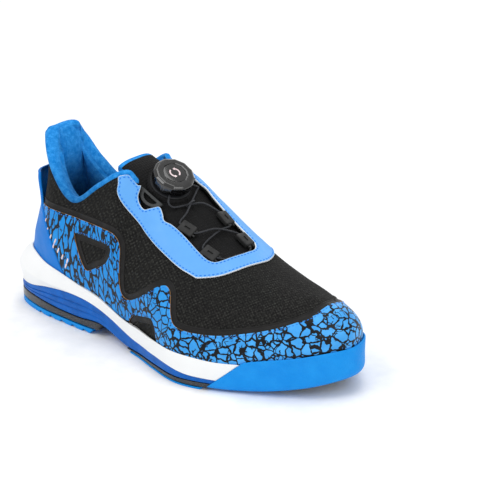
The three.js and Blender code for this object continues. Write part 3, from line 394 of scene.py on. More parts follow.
FINISH = {
    "knit": knit_finish(),
    "border": plain_finish("border_film", "#121212", 0.55, (0.004, "#1b1a19"), (0.006, 0.45, 0.65),
                           [(0.0008, 2.0, 0.0001, 0.5)]),
    "print_film": print_finish(),
    "print_edge": film_finish("print_cut_edge", "#b98f66", "#8a6a4c", 0.6),
    "eyestay_film": film_finish("smooth_sky_film", "#64a9ec", "#5ba1e6", 0.42),
    "film_edge": film_finish("white_cut_edge", "#eef3f8", "#d5dde6", 0.55),
    "counter_tpu": film_finish("moulded_azure", "#0078d4", "#0070c8", 0.48),
    "flock": flock_finish(),
    "tongue_fabric": tongue_finish(),
    "gathered": plain_finish("gathered_cloth", "#0c0c0d", 0.75, (0.002, "#1c1c1e", 3.0, 0.4, 0.7),
                             bumps=[(0.0008, 3.0, 0.0003, 0.7)]),
    "eva_white": plain_finish("white_foam_rubber", "#f4f5f5", 0.5, (0.03, "#eceeee", 2.0, 0.3, 0.9),
                              (0.012, 0.42, 0.6), [(0.0012, 3.0, 0.00005, 0.5), (0.02, 2.0, 0.0004, 0.12)],
                              Coat_Weight=0.05),
    "eva_royal": plastic_finish("royal_sidewall", "#0063c0", "#0055a8", 0.4, 0.55),
    "rubber_blue": rubber_finish(),
    "carrier": glossy_finish("dark_carrier", "#15181c", "#20252b", 0.22, 0.38, 0.2),
    "hook_tape": plastic_finish("hook_tape", "#1c1d20", "#2a2c2f", 0.85, 0.97, 0.0004),
    "board": plastic_finish("pulp_board", "#d9d0ba", "#c3b89d", 0.85, 0.95, 0.0002),
    "foam": plastic_finish("open_foam", "#dfe6ea", "#cdd6dc", 0.9, 0.97, 0.0004),
    "steel": plastic_finish("spring_steel", "#a9afb5", "#8f969d", 0.25, 0.42, Metallic=1.0),
    "dial_black": glossy_finish("gloss_black", "#060607", "#0b0b0c", 0.1, 0.24, 0.6),
    "dial_inner": plastic_finish("satin_black", "#1a1b1e", "#232529", 0.35, 0.5),
    "guide": plastic_finish("charcoal_nylon", "#2b2b2b", "#202121", 0.4, 0.6, 0.00008),
    "d_guide": plastic_finish("grey_nylon", "#3f4142", "#2d2f30", 0.3, 0.5, 0.00006),
    "cable": cord_finish(),
    "thread": thread_finish("blue_thread", "#0079e6", "#006fd6"),
    "thread_print": thread_finish("azure_thread", "#1281ea", "#0a6cd4"),
    "icon": plastic_finish("pad_printed_mark", "#f1dfe0", "#d9c3c6", 0.4, 0.6),
}

# ---------------------------------------------------------------- the foot form
# foot x, foot z, lateral and medial half width | rise: x, out, up |
# top x, lateral and medial half width, z | lean of the top: x, lateral out and z, medial out and z |
# sole outline x, lateral and medial half width
STATIONS = [
    [12, 46, 0, 0, 3, 0, 25, 19, 0, 0, 133, 12, 0, -32, 0, -32, 0, 0, 0],
    [19, 45, 20.8, 20.3, 3, -0.5, 25, 25, 13, 21, 131.5, 12, 3, -30, 2, -30, 3.5, 19.8, 19],
    [42, 40, 31.5, 30, 0, 3, 24, 45, 23.5, 25, 110, 1, 6, -22, 5, -22, 30, 32, 31.5],
    [72, 35.5, 34, 31, 0, 5, 20, 67, 29, 26, 97.3, 1, 6, -18, 5.5, -18, 68, 37, 34.5],
    [97, 31, 36, 29.5, 0, 6, 25, 90, 28, 25, 113, 1, 9, -26, 8.3, -26, 97, 39, 32.7],
    [120, 23.5, 39.5, 30, 0, 6, 30, 110, 25, 22.5, 126, 5, 13, -26, 12, -24, 120, 42.5, 33],
    [142, 20.5, 45, 33.5, -1, 7, 30, 124, 0, 0, 122, 9, 27, -5, 46, 9, 142, 48.2, 37],
    [165, 20, 53.5, 40, -2, 6, 26, 148, 0, 0, 108.5, 7, 29, -4, 48, 7, 165, 57, 43.7],
    [190, 20.5, 60.5, 45.5, -1, 4, 22, 176, 0, 0, 91, 5, 32, -3, 47, 4, 192, 64.5, 49.3],
    [214, 20, 57.5, 47.5, 0, 3, 20, 203, 0, 0, 76.5, 4, 33, -2, 45, 2.5, 218, 60, 50.9],
    [238, 20, 48, 45, 1, 3, 20, 226, 0, 0, 69.5, 3, 31, -1, 38, 1.5, 243, 49.2, 48.3],
    [260, 25, 38, 39, 2, 3, 20, 242, 0, 0, 66.5, 6, 24, 0, 27, 0.5, 265, 38, 42],
    [278, 29, 26.5, 30, 3, 3, 20, 251, 0, 0, 65, 13, 15, -1, 14, -1, 284, 25, 30],
    [289, 31.5, 12, 20, 4, 1, 20, 255, 0, 0, 64.5, 21, 7, -2, 6.5, -2, 296, 10, 16],
    [294, 32.5, -3, 3, 4, 0, 20, 257, 0, 0, 64, 25, 0, -2, 0, -2, 300, -3, 3],
]
LOOP = 2 * (len(STATIONS) - 1)
RIDGE = 6


def through(points):
    """A smooth curve height(x) through points, flat beyond its ends."""
    xs, zs = np.array(points, float).T
    slopes = np.empty(len(xs))
    slopes[1:-1] = (zs[2:] - zs[:-2]) / (xs[2:] - xs[:-2])
    slopes[0] = (zs[1] - zs[0]) / (xs[1] - xs[0])
    slopes[-1] = (zs[-1] - zs[-2]) / (xs[-1] - xs[-2])

    def height(x):
        x = np.clip(np.asarray(x, float), xs[0], xs[-1])
        i = np.clip(np.searchsorted(xs, x) - 1, 0, len(xs) - 2)
        span = xs[i + 1] - xs[i]
        f = (x - xs[i]) / span
        r = 1 - f
        return ((1 + 2 * f) * r * r * zs[i] + f * r * r * span * slopes[i]
                + f * f * (3 - 2 * f) * zs[i + 1] - f * f * r * span * slopes[i + 1])
    return height


def catmull(a, b, c, d, f):
    """The point at share f of the way from b to c on a Catmull-Rom curve."""
    return 0.5 * (2 * b + (c - a) * f + (2 * a - 5 * b + 4 * c - d) * f ** 2
                  + (3 * b - a - 3 * c + d) * f ** 3)


def smoothstep(low, high, value):
    f = np.clip((np.asarray(value, float) - low) / (high - low), 0, 1)
    return f * f * (3 - 2 * f)


MIDSOLE_TOP = through([[0, 46.5], [10, 46.5], [26, 46], [39, 43], [56, 39.8], [74, 35.4], [92, 32],
                       [108, 27.7], [121, 23.9], [133, 22.3], [150, 22.4], [198, 22.5], [222, 21.5],
                       [240, 22]])
SIDEWALL_TOP = through([[0, 17], [20, 18.3], [39, 22.7], [56, 25], [72, 25.8], [84, 25], [98, 22.2],
                        [112, 18.4], [126, 14.2], [138, 11.8], [156, 11.5], [184, 11], [204, 8.9],
                        [240, 8.4]])
SIDEWALL_FOOT = through([[0, 11], [31, 11], [54, 9.6], [76, 9.4], [96, 10.6], [108, 8.3], [118, 5.3],
                         [129, 3.4], [142, 3.6], [164, 4.5], [218, 5.4], [240, 5.6]])
WRAP_TOP = through([[214, 18], [238, 21.5], [250, 25], [263, 27.8], [278, 30.6], [290, 33], [300, 34]])


def guide_rows(side):
    """The form's five guide lines along one side of the foot."""
    rows = []
    for station in STATIONS:
        x, z, *wide, rise_x, rise_out, rise_up, top_x, lateral_top, medial_top, top_z, lean_x = station[:12]
        pick = 0 if side < 0 else 1
        lean, drop = station[12 + 2 * pick:14 + 2 * pick]
        foot = np.array([x, side * wide[pick], z], float)
        top = np.array([top_x, side * (lateral_top, medial_top)[pick], top_z], float)
        rows.append([foot, foot + [rise_x, side * rise_out, rise_up], top + [lean_x, side * lean, drop], top,
                     [station[16], side * station[17 + pick], 0]])
    return rows


NET = np.array(guide_rows(-1) + guide_rows(1)[1:-1][::-1], float)


def along(line, s):
    """Points of one of the form's five guide lines at stations s, a closed smooth curve."""
    s = np.asarray(s, float)
    whole = np.floor(s).astype(int)
    f = (s - whole)[..., None]
    return catmull(*(NET[(whole + k) % LOOP, line] for k in (-1, 0, 1, 2)), f)


def form_point(s, t):
    """Points of the foot form: s runs round the foot, t from the feather line (0) to the top line (1)."""
    s, t = np.broadcast_arrays(np.asarray(s, float), np.asarray(t, float))
    p0, p1, p2, p3 = (along(k, s) for k in range(4))
    station = s % LOOP
    ridge = (station > RIDGE - 1e-6) & (station < LOOP - RIDGE + 1e-6)
    p3[..., 1] = np.where(ridge, 0, p3[..., 1])
    u = t[..., None]
    r = 1 - u
    p = r ** 3 * p0 + 3 * r * r * u * p1 + 3 * r * u * u * p2 + u ** 3 * p3
    return p


def unit(v):
    return v / np.maximum(np.linalg.norm(v, axis=-1, keepdims=True), 1e-12)


def form_normal(s, t):
    h = 0.004
    ds = form_point(s + h, t) - form_point(s - h, t)
    dt = form_point(s, np.minimum(t + h, 1)) - form_point(s, np.maximum(t - h, 0))
    return unit(np.cross(ds, dt))


def form(s, t, offset):
    s, t, offset = np.broadcast_arrays(*(np.asarray(v, float) for v in (s, t, offset)))
    return form_point(s, t) + form_normal(s, t) * offset[..., None]


def wall_at(s, height):
    """The t at which the form has a given height above the floor."""
    low, high = np.zeros_like(s), np.ones_like(s)
    for _ in range(24):
        middle = (low + high) / 2
        below = form_point(s, middle)[..., 2] < height
        low, high = np.where(below, middle, low), np.where(below, high, middle)
    return (low + high) / 2


def sole_point(s, inset, height):
    """Points of the sole's outline, moved in by inset, at height(x)."""
    p = along(4, s)
    run = unit(along(4, s + 0.01) - along(4, s - 0.01))
    inset = np.asarray(inset, float)
    p[..., 0] -= run[..., 1] * inset
    p[..., 1] += run[..., 0] * inset
    p[..., 2] = height(p[..., 0]) if callable(height) else height
    return p


TOE_SPRING = 12
TOE_SPRING_START = 225


def toe_spring(x):
    return TOE_SPRING * np.maximum((x - TOE_SPRING_START) / (SOLE_LENGTH - TOE_SPRING_START), 0) ** 2


# ---------------------------------------------------------------- mesh tools
SHOE = "shoe"


def joined(vertices, tolerance=1e-4):
    """The first vertex of each place, and for every vertex the number of its place."""
    key = np.round(vertices / tolerance).astype(np.int64)
    _, first, inverse = np.unique(key, axis=0, return_index=True, return_inverse=True)
    return first, inverse.ravel()


def distinct(triangles):
    """Which triangles have three different corners."""
    a, b, c = triangles.T
    return (a != b) & (b != c) & (a != c)


def weld(vertices, faces, tolerance=1e-4):
    """Joins vertices that lie together and drops faces that lose their area."""
    first, inverse = joined(vertices, tolerance)
    kept = []
    for face in faces:
        ring = []
        for v in inverse[list(face)]:
            if not ring or ring[-1] != v:
                ring.append(v)
        if ring[0] == ring[-1]:
            ring.pop()
        if len(ring) > 2 and len(set(ring)) == len(ring):
            kept.append(ring)
    return vertices[first], kept


def make_mesh(name, vertices, faces, finishes, body=SHOE, slot=None, replaces=(), smooth=True, indices=None,
              sharp=None, uv=None):
    """A piece from points in millimetres of the shoe's frame."""
    mesh = bpy.data.meshes.new(name)
    mesh.from_pydata(to_row(vertices).tolist(), [], [list(map(int, f)) for f in faces])
    for finish in ([finishes] if isinstance(finishes, str) else finishes):
        mesh.materials.append(FINISH[finish])
    if indices is not None:
        mesh.polygons.foreach_set("material_index", np.asarray(indices, np.int32))
    if uv is not None:
        layer = mesh.uv_layers.new(name="braids")
        corners = np.zeros(len(mesh.loops), np.int32)
        mesh.loops.foreach_get("vertex_index", corners)
        layer.data.foreach_set("uv", np.asarray(uv, np.float32)[corners].ravel())
    mesh.validate()
    mesh.polygons.foreach_set("use_smooth", np.full(len(mesh.polygons), smooth))
    if sharp is not None:
        mesh.set_sharp_from_angle(angle=math.radians(sharp))
    mesh.update()
    piece = linked(name, mesh)
    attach(piece, body)
    if replaces:
        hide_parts(*([replaces] if isinstance(replaces, str) else replaces))
    return piece


def clean(piece, cut=()):
    """Merges doubles, cuts by planes (point, normal pointing to what goes) and closes the holes."""
    bm = bmesh.new()
    bm.from_mesh(piece.data)
    bmesh.ops.remove_doubles(bm, verts=bm.verts, dist=1e-6)
    for point, normal in cut:
        geometry = bm.verts[:] + bm.edges[:] + bm.faces[:]
        bmesh.ops.bisect_plane(bm, geom=geometry, plane_co=Vector(to_row(point)), plane_no=Vector(normal),
                               clear_outer=True, dist=1e-7)
        open_edges = [e for e in bm.edges if len(e.link_faces) == 1]
        bmesh.ops.holes_fill(bm, edges=open_edges, sides=0)
    bmesh.ops.recalc_face_normals(bm, faces=bm.faces)
    bm.to_mesh(piece.data)
    bm.free()
    return piece


def grid_faces(rows, columns, wrap_rows=False, wrap_columns=False, start=0):
    """The quads of a grid of points, numbered row by row from start."""
    faces = []
    for j in range(rows if wrap_rows else rows - 1):
        for i in range(columns if wrap_columns else columns - 1):
            j2, i2 = (j + 1) % rows, (i + 1) % columns
            a, b, c, d = j * columns + i, j * columns + i2, j2 * columns + i2, j2 * columns + i
            faces.append((a + start, b + start, c + start, d + start))
    return faces


def barrel(rows, columns, closed=False):
    """Faces of rings of points. Closed, the last ring joins the first, and otherwise both ends get a cap."""
    faces = grid_faces(rows, columns, wrap_rows=closed, wrap_columns=True)
    if not closed:
        faces += [range(columns)[::-1], range((rows - 1) * columns, rows * columns)]
    return faces


def slab(face, back):
    """Vertices and faces of a sheet between two grids of points of the same size."""
    rows, columns = face.shape[:2]
    n = rows * columns
    rim = ([(0, i) for i in range(columns)] + [(j, columns - 1) for j in range(1, rows)]
           + [(rows - 1, i) for i in range(columns - 2, -1, -1)] + [(j, 0) for j in range(rows - 2, 0, -1)])
    loop = [j * columns + i for j, i in rim]
    walls = [(b, a, a + n, b + n) for a, b in zip(loop, loop[1:] + loop[:1])]
    faces = grid_faces(rows, columns) + [f[::-1] for f in grid_faces(rows, columns, start=n)] + walls
    return np.concatenate([face.reshape(-1, 3), back.reshape(-1, 3)]), faces


ROUND = np.arange(LOOP * 14) * LOOP / (LOOP * 14)    # stations of the sole's rings


def ring_body(name, rings, finish, cap=True, **options):
    """A body of rings round the shoe. With cap its two end rings are closed from side to side, and
    without it the rings close on themselves as a rim."""
    count = len(rings[0])
    faces = grid_faces(len(rings), count, wrap_rows=not cap, wrap_columns=True)
    if cap:
        last = (len(rings) - 1) * count
        for i in range(count // 2):
            a, b, c, d = i, i + 1, (count - i - 1) % count, (count - i) % count
            faces.append((a, d, c, b))
            faces.append((last + a, last + b, last + c, last + d))
    vertices, faces = weld(np.concatenate(rings), faces)
    return make_mesh(name, vertices, faces, finish, **options)


def spline(points, steps=10, closed=False):
    """A smooth line through points, as a dense list of points."""
    p = np.array(points, float)
    n = len(p)
    if closed:
        q = np.concatenate([p[-1:], p, p[:2]])
    else:
        q = np.concatenate([2 * p[:1] - p[1:2], p, 2 * p[-1:] - p[-2:-1]])
    out = [catmull(*q[i:i + 4], k / steps) for i in range(n if closed else n - 1) for k in range(steps)]
    if not closed:
        out.append(p[-1])
    return np.array(out)


def signed_distance(points, outline):
    """Distance of 2D points from a closed outline, positive inside, and its direction."""
    best = np.full(len(points), 1e9)
    direction = np.zeros((len(points), 2))
    inside = np.zeros(len(points), bool)
    for a, b in zip(outline, np.roll(outline, -1, axis=0)):
        edge = b - a
        size = edge @ edge
        if size < 1e-12:
            continue
        f = np.clip((points - a) @ edge / size, 0, 1)
        gap = points - (a + f[:, None] * edge)
        distance = np.hypot(gap[:, 0], gap[:, 1])
        nearer = distance < best
        best[nearer] = distance[nearer]
        direction[nearer] = gap[nearer]
        crosses = (a[1] > points[:, 1]) != (b[1] > points[:, 1])
        with np.errstate(divide="ignore", invalid="ignore"):
            at = a[0] + (points[:, 1] - a[1]) * edge[0] / edge[1]
        inside ^= crosses & (points[:, 0] < at)
    return np.where(inside, best, -best), direction / np.maximum(best, 1e-9)[:, None]


# The form as one dense welded net. Its columns are point, normal, s, t and a field for cutting.
POINT, NORMAL, S, T, FIELD = slice(0, 3), slice(3, 6), 6, 7, 8
SNAP = 0.02
NET_STEPS = 20                # columns of the net from one station to the next


def dense_form():
    s = np.arange(LOOP * NET_STEPS) / NET_STEPS
    t = np.concatenate([np.linspace(0, 0.9, 66), np.linspace(0.9, 1, 11)[1:]])
    grid_s, grid_t = np.meshgrid(s, t)
    points = form_point(grid_s, grid_t).reshape(-1, 3)
    faces = np.array(grid_faces(len(t), len(s), wrap_columns=True))
    first, inverse = joined(points, 1e-3)
    faces = inverse[faces]
    triangles = np.concatenate([faces[:, [0, 1, 2]], faces[:, [0, 2, 3]]])
    triangles = triangles[distinct(triangles)]
    points = points[first]
    normals = np.zeros_like(points)
    a, b, c = (points[triangles[:, k]] for k in range(3))
    area = np.cross(b - a, c - a)
    for k in range(3):
        np.add.at(normals, triangles[:, k], area)
    columns = [points, unit(normals), grid_s.ravel()[first, None], grid_t.ravel()[first, None],
               np.zeros((len(points), 1))]
    return np.concatenate(columns, axis=1), triangles


BASE, BASE_TRIANGLES = dense_form()


def side_field(outline, axes=(0, 2)):
    """How far the form's points lie inside a side-view outline (x, z), measured on the surface."""
    distance, direction = signed_distance(BASE[:, axes], np.asarray(outline, float))
    across = (direction * BASE[:, NORMAL][:, axes]).sum(axis=1)
    return distance / np.sqrt(np.clip(1 - across ** 2, 0.06, 1))


def plan_field(outline):
    return side_field(outline, (0, 1))


def crossings(g, triangles):
    """Which edges of the triangles cross zero of g, and the edges' ends."""
    sign = np.sign(g)[triangles]
    edges = np.stack([triangles, np.roll(triangles, -1, axis=1)], axis=2)
    return sign * np.roll(sign, -1, axis=1) < 0, edges


def cut_points(net, g, edges):
    """The net's points where edges cross zero of g, and for every edge the number of its point."""
    unique, inverse = np.unique(np.sort(edges, axis=1), axis=0, return_inverse=True)
    g0, g1 = g[unique[:, 0]], g[unique[:, 1]]
    share = (g0 / (g0 - g1))[:, None]
    return net[unique[:, 0]] * (1 - share) + net[unique[:, 1]] * share, inverse.ravel()


def split(net, triangles, level):
    """Adds vertices where the field crosses a level, so that edges run along it."""
    g = net[:, FIELD] - level
    close = np.abs(g) < SNAP
    net = net.copy()
    net[close, FIELD] = level
    g[close] = 0
    crossed, edges = crossings(g, triangles)
    if not crossed.any():
        return net, triangles
    added, number = cut_points(net, g, edges[crossed])
    added[:, FIELD] = level
    added[:, NORMAL] = unit(added[:, NORMAL])
    index = np.full(crossed.shape, -1)
    index[crossed] = len(net) + number
    whole = ~crossed.any(axis=1)
    result = [triangles[whole]]
    for k in range(3):
        a, b, c = triangles[:, k], triangles[:, (k + 1) % 3], triangles[:, (k + 2) % 3]
        e_ab, e_bc, e_ca = index[:, k], index[:, (k + 1) % 3], index[:, (k + 2) % 3]
        lone = (e_ab >= 0) & (e_ca >= 0)
        p, q = e_ab[lone], e_ca[lone]
        result += [np.stack([a[lone], p, q], 1), np.stack([p, b[lone], c[lone]], 1),
                   np.stack([p, c[lone], q], 1)]
        single = (e_bc >= 0) & (e_ab < 0) & (e_ca < 0)
        m = e_bc[single]
        result += [np.stack([a[single], b[single], m], 1), np.stack([a[single], m, c[single]], 1)]
    return np.concatenate([net, added]), np.concatenate(result)


def compact(net, triangles):
    used = np.unique(triangles)
    place = np.zeros(len(net), int)
    place[used] = np.arange(len(used))
    return net[used], place[triangles]


def patch(field, levels=()):
    """The part of the form where the field is positive, with edges along the given levels."""
    net = BASE.copy()
    net[:, FIELD] = field
    near = net[BASE_TRIANGLES, FIELD].max(axis=1) > -SNAP
    net, triangles = compact(net, BASE_TRIANGLES[near])
    net, triangles = split(net, triangles, 0.0)
    triangles = triangles[net[triangles, FIELD].mean(axis=1) > 0]
    net, triangles = compact(net, triangles)
    for level in levels:
        net, triangles = split(net, triangles, level)
    return net, triangles


EDGE_LEVELS = (0.1, 0.3, 0.6)


def rounded(field, radius=0.6):
    """From 0 at a sheet's cut edge to 1 at radius inside it."""
    f = np.clip(field / radius, 0, 1)
    return np.sqrt(np.clip(1 - (1 - f) ** 2, 0, 1)) ** 0.7


def solid_sheet(name, net, triangles, outer, inner, finishes, edge_width=None, **options):
    """A closed sheet over a patch, from its outer to its inner offset. Where the two offsets meet at the
    cut edge they are welded, and elsewhere a wall joins them."""
    top = net[:, POINT] + net[:, NORMAL] * np.broadcast_to(outer, len(net))[:, None]
    bottom = net[:, POINT] + net[:, NORMAL] * np.broadcast_to(inner, len(net))[:, None]
    count = len(net)
    edges = np.concatenate([triangles[:, [0, 1]], triangles[:, [1, 2]], triangles[:, [2, 0]]])
    ordered = np.sort(edges, axis=1)
    _, first, uses = np.unique(ordered, axis=0, return_index=True, return_counts=True)
    rim = edges[first[uses == 1]]
    faces = np.concatenate([triangles, triangles[:, ::-1] + count])
    walls = np.stack([rim[:, 1], rim[:, 0], rim[:, 0] + count, rim[:, 1] + count], 1)
    walls = np.concatenate([walls[:, [0, 1, 2]], walls[:, [0, 2, 3]]])
    faces = np.concatenate([faces, walls])
    vertices = np.concatenate([top, bottom])
    first, inverse = joined(vertices)
    good = distinct(inverse[faces])
    indices = None
    if edge_width:
        field = np.concatenate([net[:, FIELD], net[:, FIELD]])
        indices = (field[faces].mean(axis=1) < edge_width).astype(int)[good]
    return make_mesh(name, vertices[first], inverse[faces[good]], finishes, indices=indices, **options)


def contour(net, triangles, level):
    """Lines along a level of the field, as arrays of point and normal."""
    g = net[:, FIELD] - level
    g = np.where(np.abs(g) < 1e-9, 1e-9, g)
    crossed, edges = crossings(g, triangles)
    two = crossed.sum(axis=1) == 2
    points, number = cut_points(net[:, :6], g, edges[two][crossed[two]])
    neighbours = {}
    for a, b in number.reshape(-1, 2):
        neighbours.setdefault(int(a), []).append(int(b))
        neighbours.setdefault(int(b), []).append(int(a))
    lines, seen = [], set()
    ends = [k for k in sorted(neighbours) if len(neighbours[k]) == 1]
    for start in ends + sorted(neighbours):
        if start in seen:
            continue
        line, here = [start], start
        seen.add(start)
        while True:
            following = [k for k in neighbours[here] if k not in seen]
            if not following:
                break
            here = following[0]
            seen.add(here)
            line.append(here)
        closed = len(line) > 2 and start in neighbours[line[-1]]
        lines.append(points[line + ([start] if closed else [])])
    return lines


CAPSULE_RINGS = ((-1, 0), (-0.86, 0.62), (-0.5, 0.95), (0, 1), (0.5, 0.95), (0.86, 0.62), (1, 0))


def at_travel(place, travel, values):
    """Values of a line's points at a place along it."""
    return np.array([np.interp(place, travel, column) for column in values.T])


def stitch_row(name, lines, finish, pitch, length, width, height, lift, slot, keep=lambda p: True):
    """Rows of short stitches along lines of (point, normal)."""
    vertices, faces = [], []
    sides = 8
    angles = 2 * math.pi * np.arange(sides) / sides
    for line in lines:
        points, normals = line[:, :3], line[:, 3:6]
        step = np.linalg.norm(np.diff(points, axis=0), axis=1)
        travel = np.concatenate([[0], np.cumsum(step)])
        count = int(travel[-1] // pitch)
        for k in range(count):
            middle = (k + 0.5) * travel[-1] / count
            ends = [middle - length / 2, middle + length / 2]
            centre, back, front = (at_travel(at, travel, points) for at in [middle, *ends])
            if not keep(centre):
                continue
            normal = unit(at_travel(middle, travel, normals))
            run = unit(front - back)
            across = unit(np.cross(normal, run))
            start = len(vertices)
            for place, share in CAPSULE_RINGS:
                vertices.extend(centre + run * place * length / 2 + normal * lift
                                + np.outer(np.cos(angles), across) * share * width / 2
                                + np.outer(np.sin(angles) + 0.1, normal) * share * height)
            faces += grid_faces(len(CAPSULE_RINGS), sides, wrap_columns=True, start=start)
    vertices, faces = weld(np.array(vertices), faces, 1e-5)
    return make_mesh(name, vertices, faces, finish, slot=slot)


# ---------------------------------------------------------------- sole
WRAP_FOOT, WRAP_HEAD = (214, 0), (239, 22)
SLANT = unit(np.array([WRAP_HEAD[1] - WRAP_FOOT[1], 0, -(WRAP_HEAD[0] - WRAP_FOOT[0])], float))
RIM_CLEARANCE = 1.7               # from the form out to the sole's rim, which leaves room for the print
RIM_LIP = 0.9                     # the rim's thickness at its top
GAP = 0.3                         # between neighbouring pieces
SEAM = 0.15                       # half the gap between the midsole and the sidewall
BEHIND_WRAP = [((WRAP_FOOT[0] - GAP, 0, 0), SLANT)]
WRAP_ZONE = [((WRAP_FOOT[0], 0, 0), -SLANT)]
HEEL_BREAST = 87
HEEL_TEETH = 7
TOOTH_PITCH = 12
FOREFOOT_START = 133


def between(bottom, top, share):
    """The height function a share of the way from bottom(x) up to top(x)."""
    return lambda x: bottom(x) + (top(x) - bottom(x)) * share


def make_midsole():
    """White foam with a crease that fades out from the heel, and a thin lip against the upper."""
    s = ROUND

    def foot(x):
        return SIDEWALL_TOP(x) + SEAM

    low = sole_point(s, 0, foot)
    t_lip = wall_at(s, MIDSOLE_TOP(along(0, s)[:, 0]))
    high = form(s, t_lip, RIM_CLEARANCE + RIM_LIP)
    run = unit(along(4, s + 0.01) - along(4, s - 0.01))
    x = along(4, s)[:, 0]
    swell = smoothstep(90, 20, x)
    crease = 0.5 - 0.42 * smoothstep(0, 78, x)
    rings = [sole_point(s, 9, foot), sole_point(s, 0.5, foot)]
    for share in [0.03, *np.linspace(0.08, 0.9, 22), 0.95, 0.985]:
        ring = low + (high - low) * share ** 3
        ring[:, 2] = low[:, 2] + (high[:, 2] - low[:, 2]) * share
        roof = np.clip(1 - np.abs(share - crease) / np.where(share < crease, crease, 0.55), 0, 1)
        out = swell * (1.7 * roof + 0.8 * math.sin(math.pi * share) - 1.0 * (share < crease) * (1 - roof))
        ring[:, 0] += run[:, 1] * out
        ring[:, 1] -= run[:, 0] * out
        rings.append(ring)
    rings += [high, form(s, t_lip, RIM_CLEARANCE + 0.35) + [0, 0, 0.35], form(s, t_lip, RIM_CLEARANCE),
              form(s, np.maximum(t_lip - 0.08, 0), RIM_CLEARANCE), form(s, 0.02, RIM_CLEARANCE - 4)]
    piece = ring_body("midsole_foam", rings, "eva_white", cap=False, slot="eva_white", replaces="midsole")
    clean(piece, BEHIND_WRAP)


def make_sidewall():
    """The royal-blue cup wall, with two fine grooves that run round the heel."""
    x = along(4, ROUND)[:, 0]
    rings = []
    for share in np.linspace(0, 1, 41):
        height = between(SIDEWALL_FOOT, lambda q: SIDEWALL_TOP(q) - SEAM, share)
        groove = sum(np.exp(-((share - at) / 0.028) ** 2) for at in (0.33, 0.62))
        barrel = 1 - (2 * share - 1) ** 2
        deep = 1.1 * groove * smoothstep(120, 70, x)
        edge = 0.5 * (max(0, 1 - share / 0.06) ** 2 + max(0, 1 - (1 - share) / 0.06) ** 2)
        rings.append(sole_point(ROUND, 1 - 0.5 * barrel * smoothstep(110, 60, x) + deep + edge, height))
    piece = ring_body("sidewall_wall", rings, "eva_royal", slot="eva_royal", replaces="sidewall")
    clean(piece, BEHIND_WRAP)


def layer_rings(inset, bottom, top, round_edge=0.35):
    """Rings of a flat layer of the sole with softened edges."""
    return [sole_point(ROUND, inset + more * round_edge, between(bottom, top, share))
            for share, more in ((0, 1), (0, 0.3), (0.12, 0), (0.88, 0), (1, 0.3), (1, 1))]


def flat(height):
    """A height function that is the same everywhere."""
    return lambda x: 0 * x + height


def carrier_top(x):
    return SIDEWALL_FOOT(x) - GAP


def breast(x, lean, way=1):
    """A slanted plane across the sole through (x, 0), leaning forward by lean at 20 mm up."""
    normal = unit(np.array([20, 0, -lean], float)) * way
    return ((x, 0, 0), normal)


def make_pads():
    """The replaceable heel and slide pads and their carriers."""
    layers = (
        ("heel_pad", "_rubber", "rubber_blue", layer_rings(0.8, flat(0), flat(3.6)),
         [breast(HEEL_BREAST, 18)]),
        ("heel_carrier", "_plate", "carrier", layer_rings(0.6, flat(4.9), carrier_top),
         [breast(HEEL_BREAST + 6, 12)]),
        ("forefoot_carrier", "_plate", "carrier", layer_rings(0.4, flat(2.3), carrier_top, 0.15),
         BEHIND_WRAP + [breast(FOREFOOT_START - 3, 0, -1)]),
        ("forefoot_pad", "_rubber", "rubber_blue",
         layer_rings(0.8, toe_spring, lambda x: toe_spring(x) + 1.2, 0.2),
         [breast(WRAP_FOOT[0] - 2, 0), breast(FOREFOOT_START, 0, -1)]),
    )
    for node, ending, finish, rings, cuts in layers:
        piece = clean(ring_body(node + ending, rings, finish, slot=finish, replaces=node), cuts)
        if node == "heel_pad":
            cut_away(piece, make_teeth())


def make_teeth():
    """Wedges that notch both edges of the heel pad."""
    vertices, faces = [], []
    for i in range(HEEL_TEETH):
        x = 8 + i * TOOTH_PITCH
        inner = 29 + i * 0.3
        profile = [(x - 0.5, -1), (x + 5.5, -1), (x + 6.5, 0.0), (x + 0.5, 1.9), (x, 1.6)]
        n = len(profile)
        for ends in ((-60, -inner), (inner, 60)):
            start = len(vertices)
            vertices += [(px, y, pz) for y in ends for px, pz in profile]
            faces += [range(start, start + n), range(start + 2 * n - 1, start + n - 1, -1)]
            faces += grid_faces(2, n, wrap_columns=True, start=start)
    return clean(make_mesh("teeth", np.array(vertices, float), faces, "rubber_blue"))


def cut_away(piece, cutter):
    """Cuts one closed piece by another and removes the cutter."""
    cut = piece.modifiers.new("cut", "BOOLEAN")
    cut.object = cutter
    cut.operation = "DIFFERENCE"
    cut.solver = "EXACT"
    bpy.context.view_layer.update()
    graph = bpy.context.evaluated_depsgraph_get()
    made = bpy.data.meshes.new_from_object(piece.evaluated_get(graph))
    piece.modifiers.remove(cut)
    old = piece.data
    piece.data = made
    bpy.data.meshes.remove(old)
    bpy.data.objects.remove(cutter)
    made.set_sharp_from_angle(angle=math.radians(35))


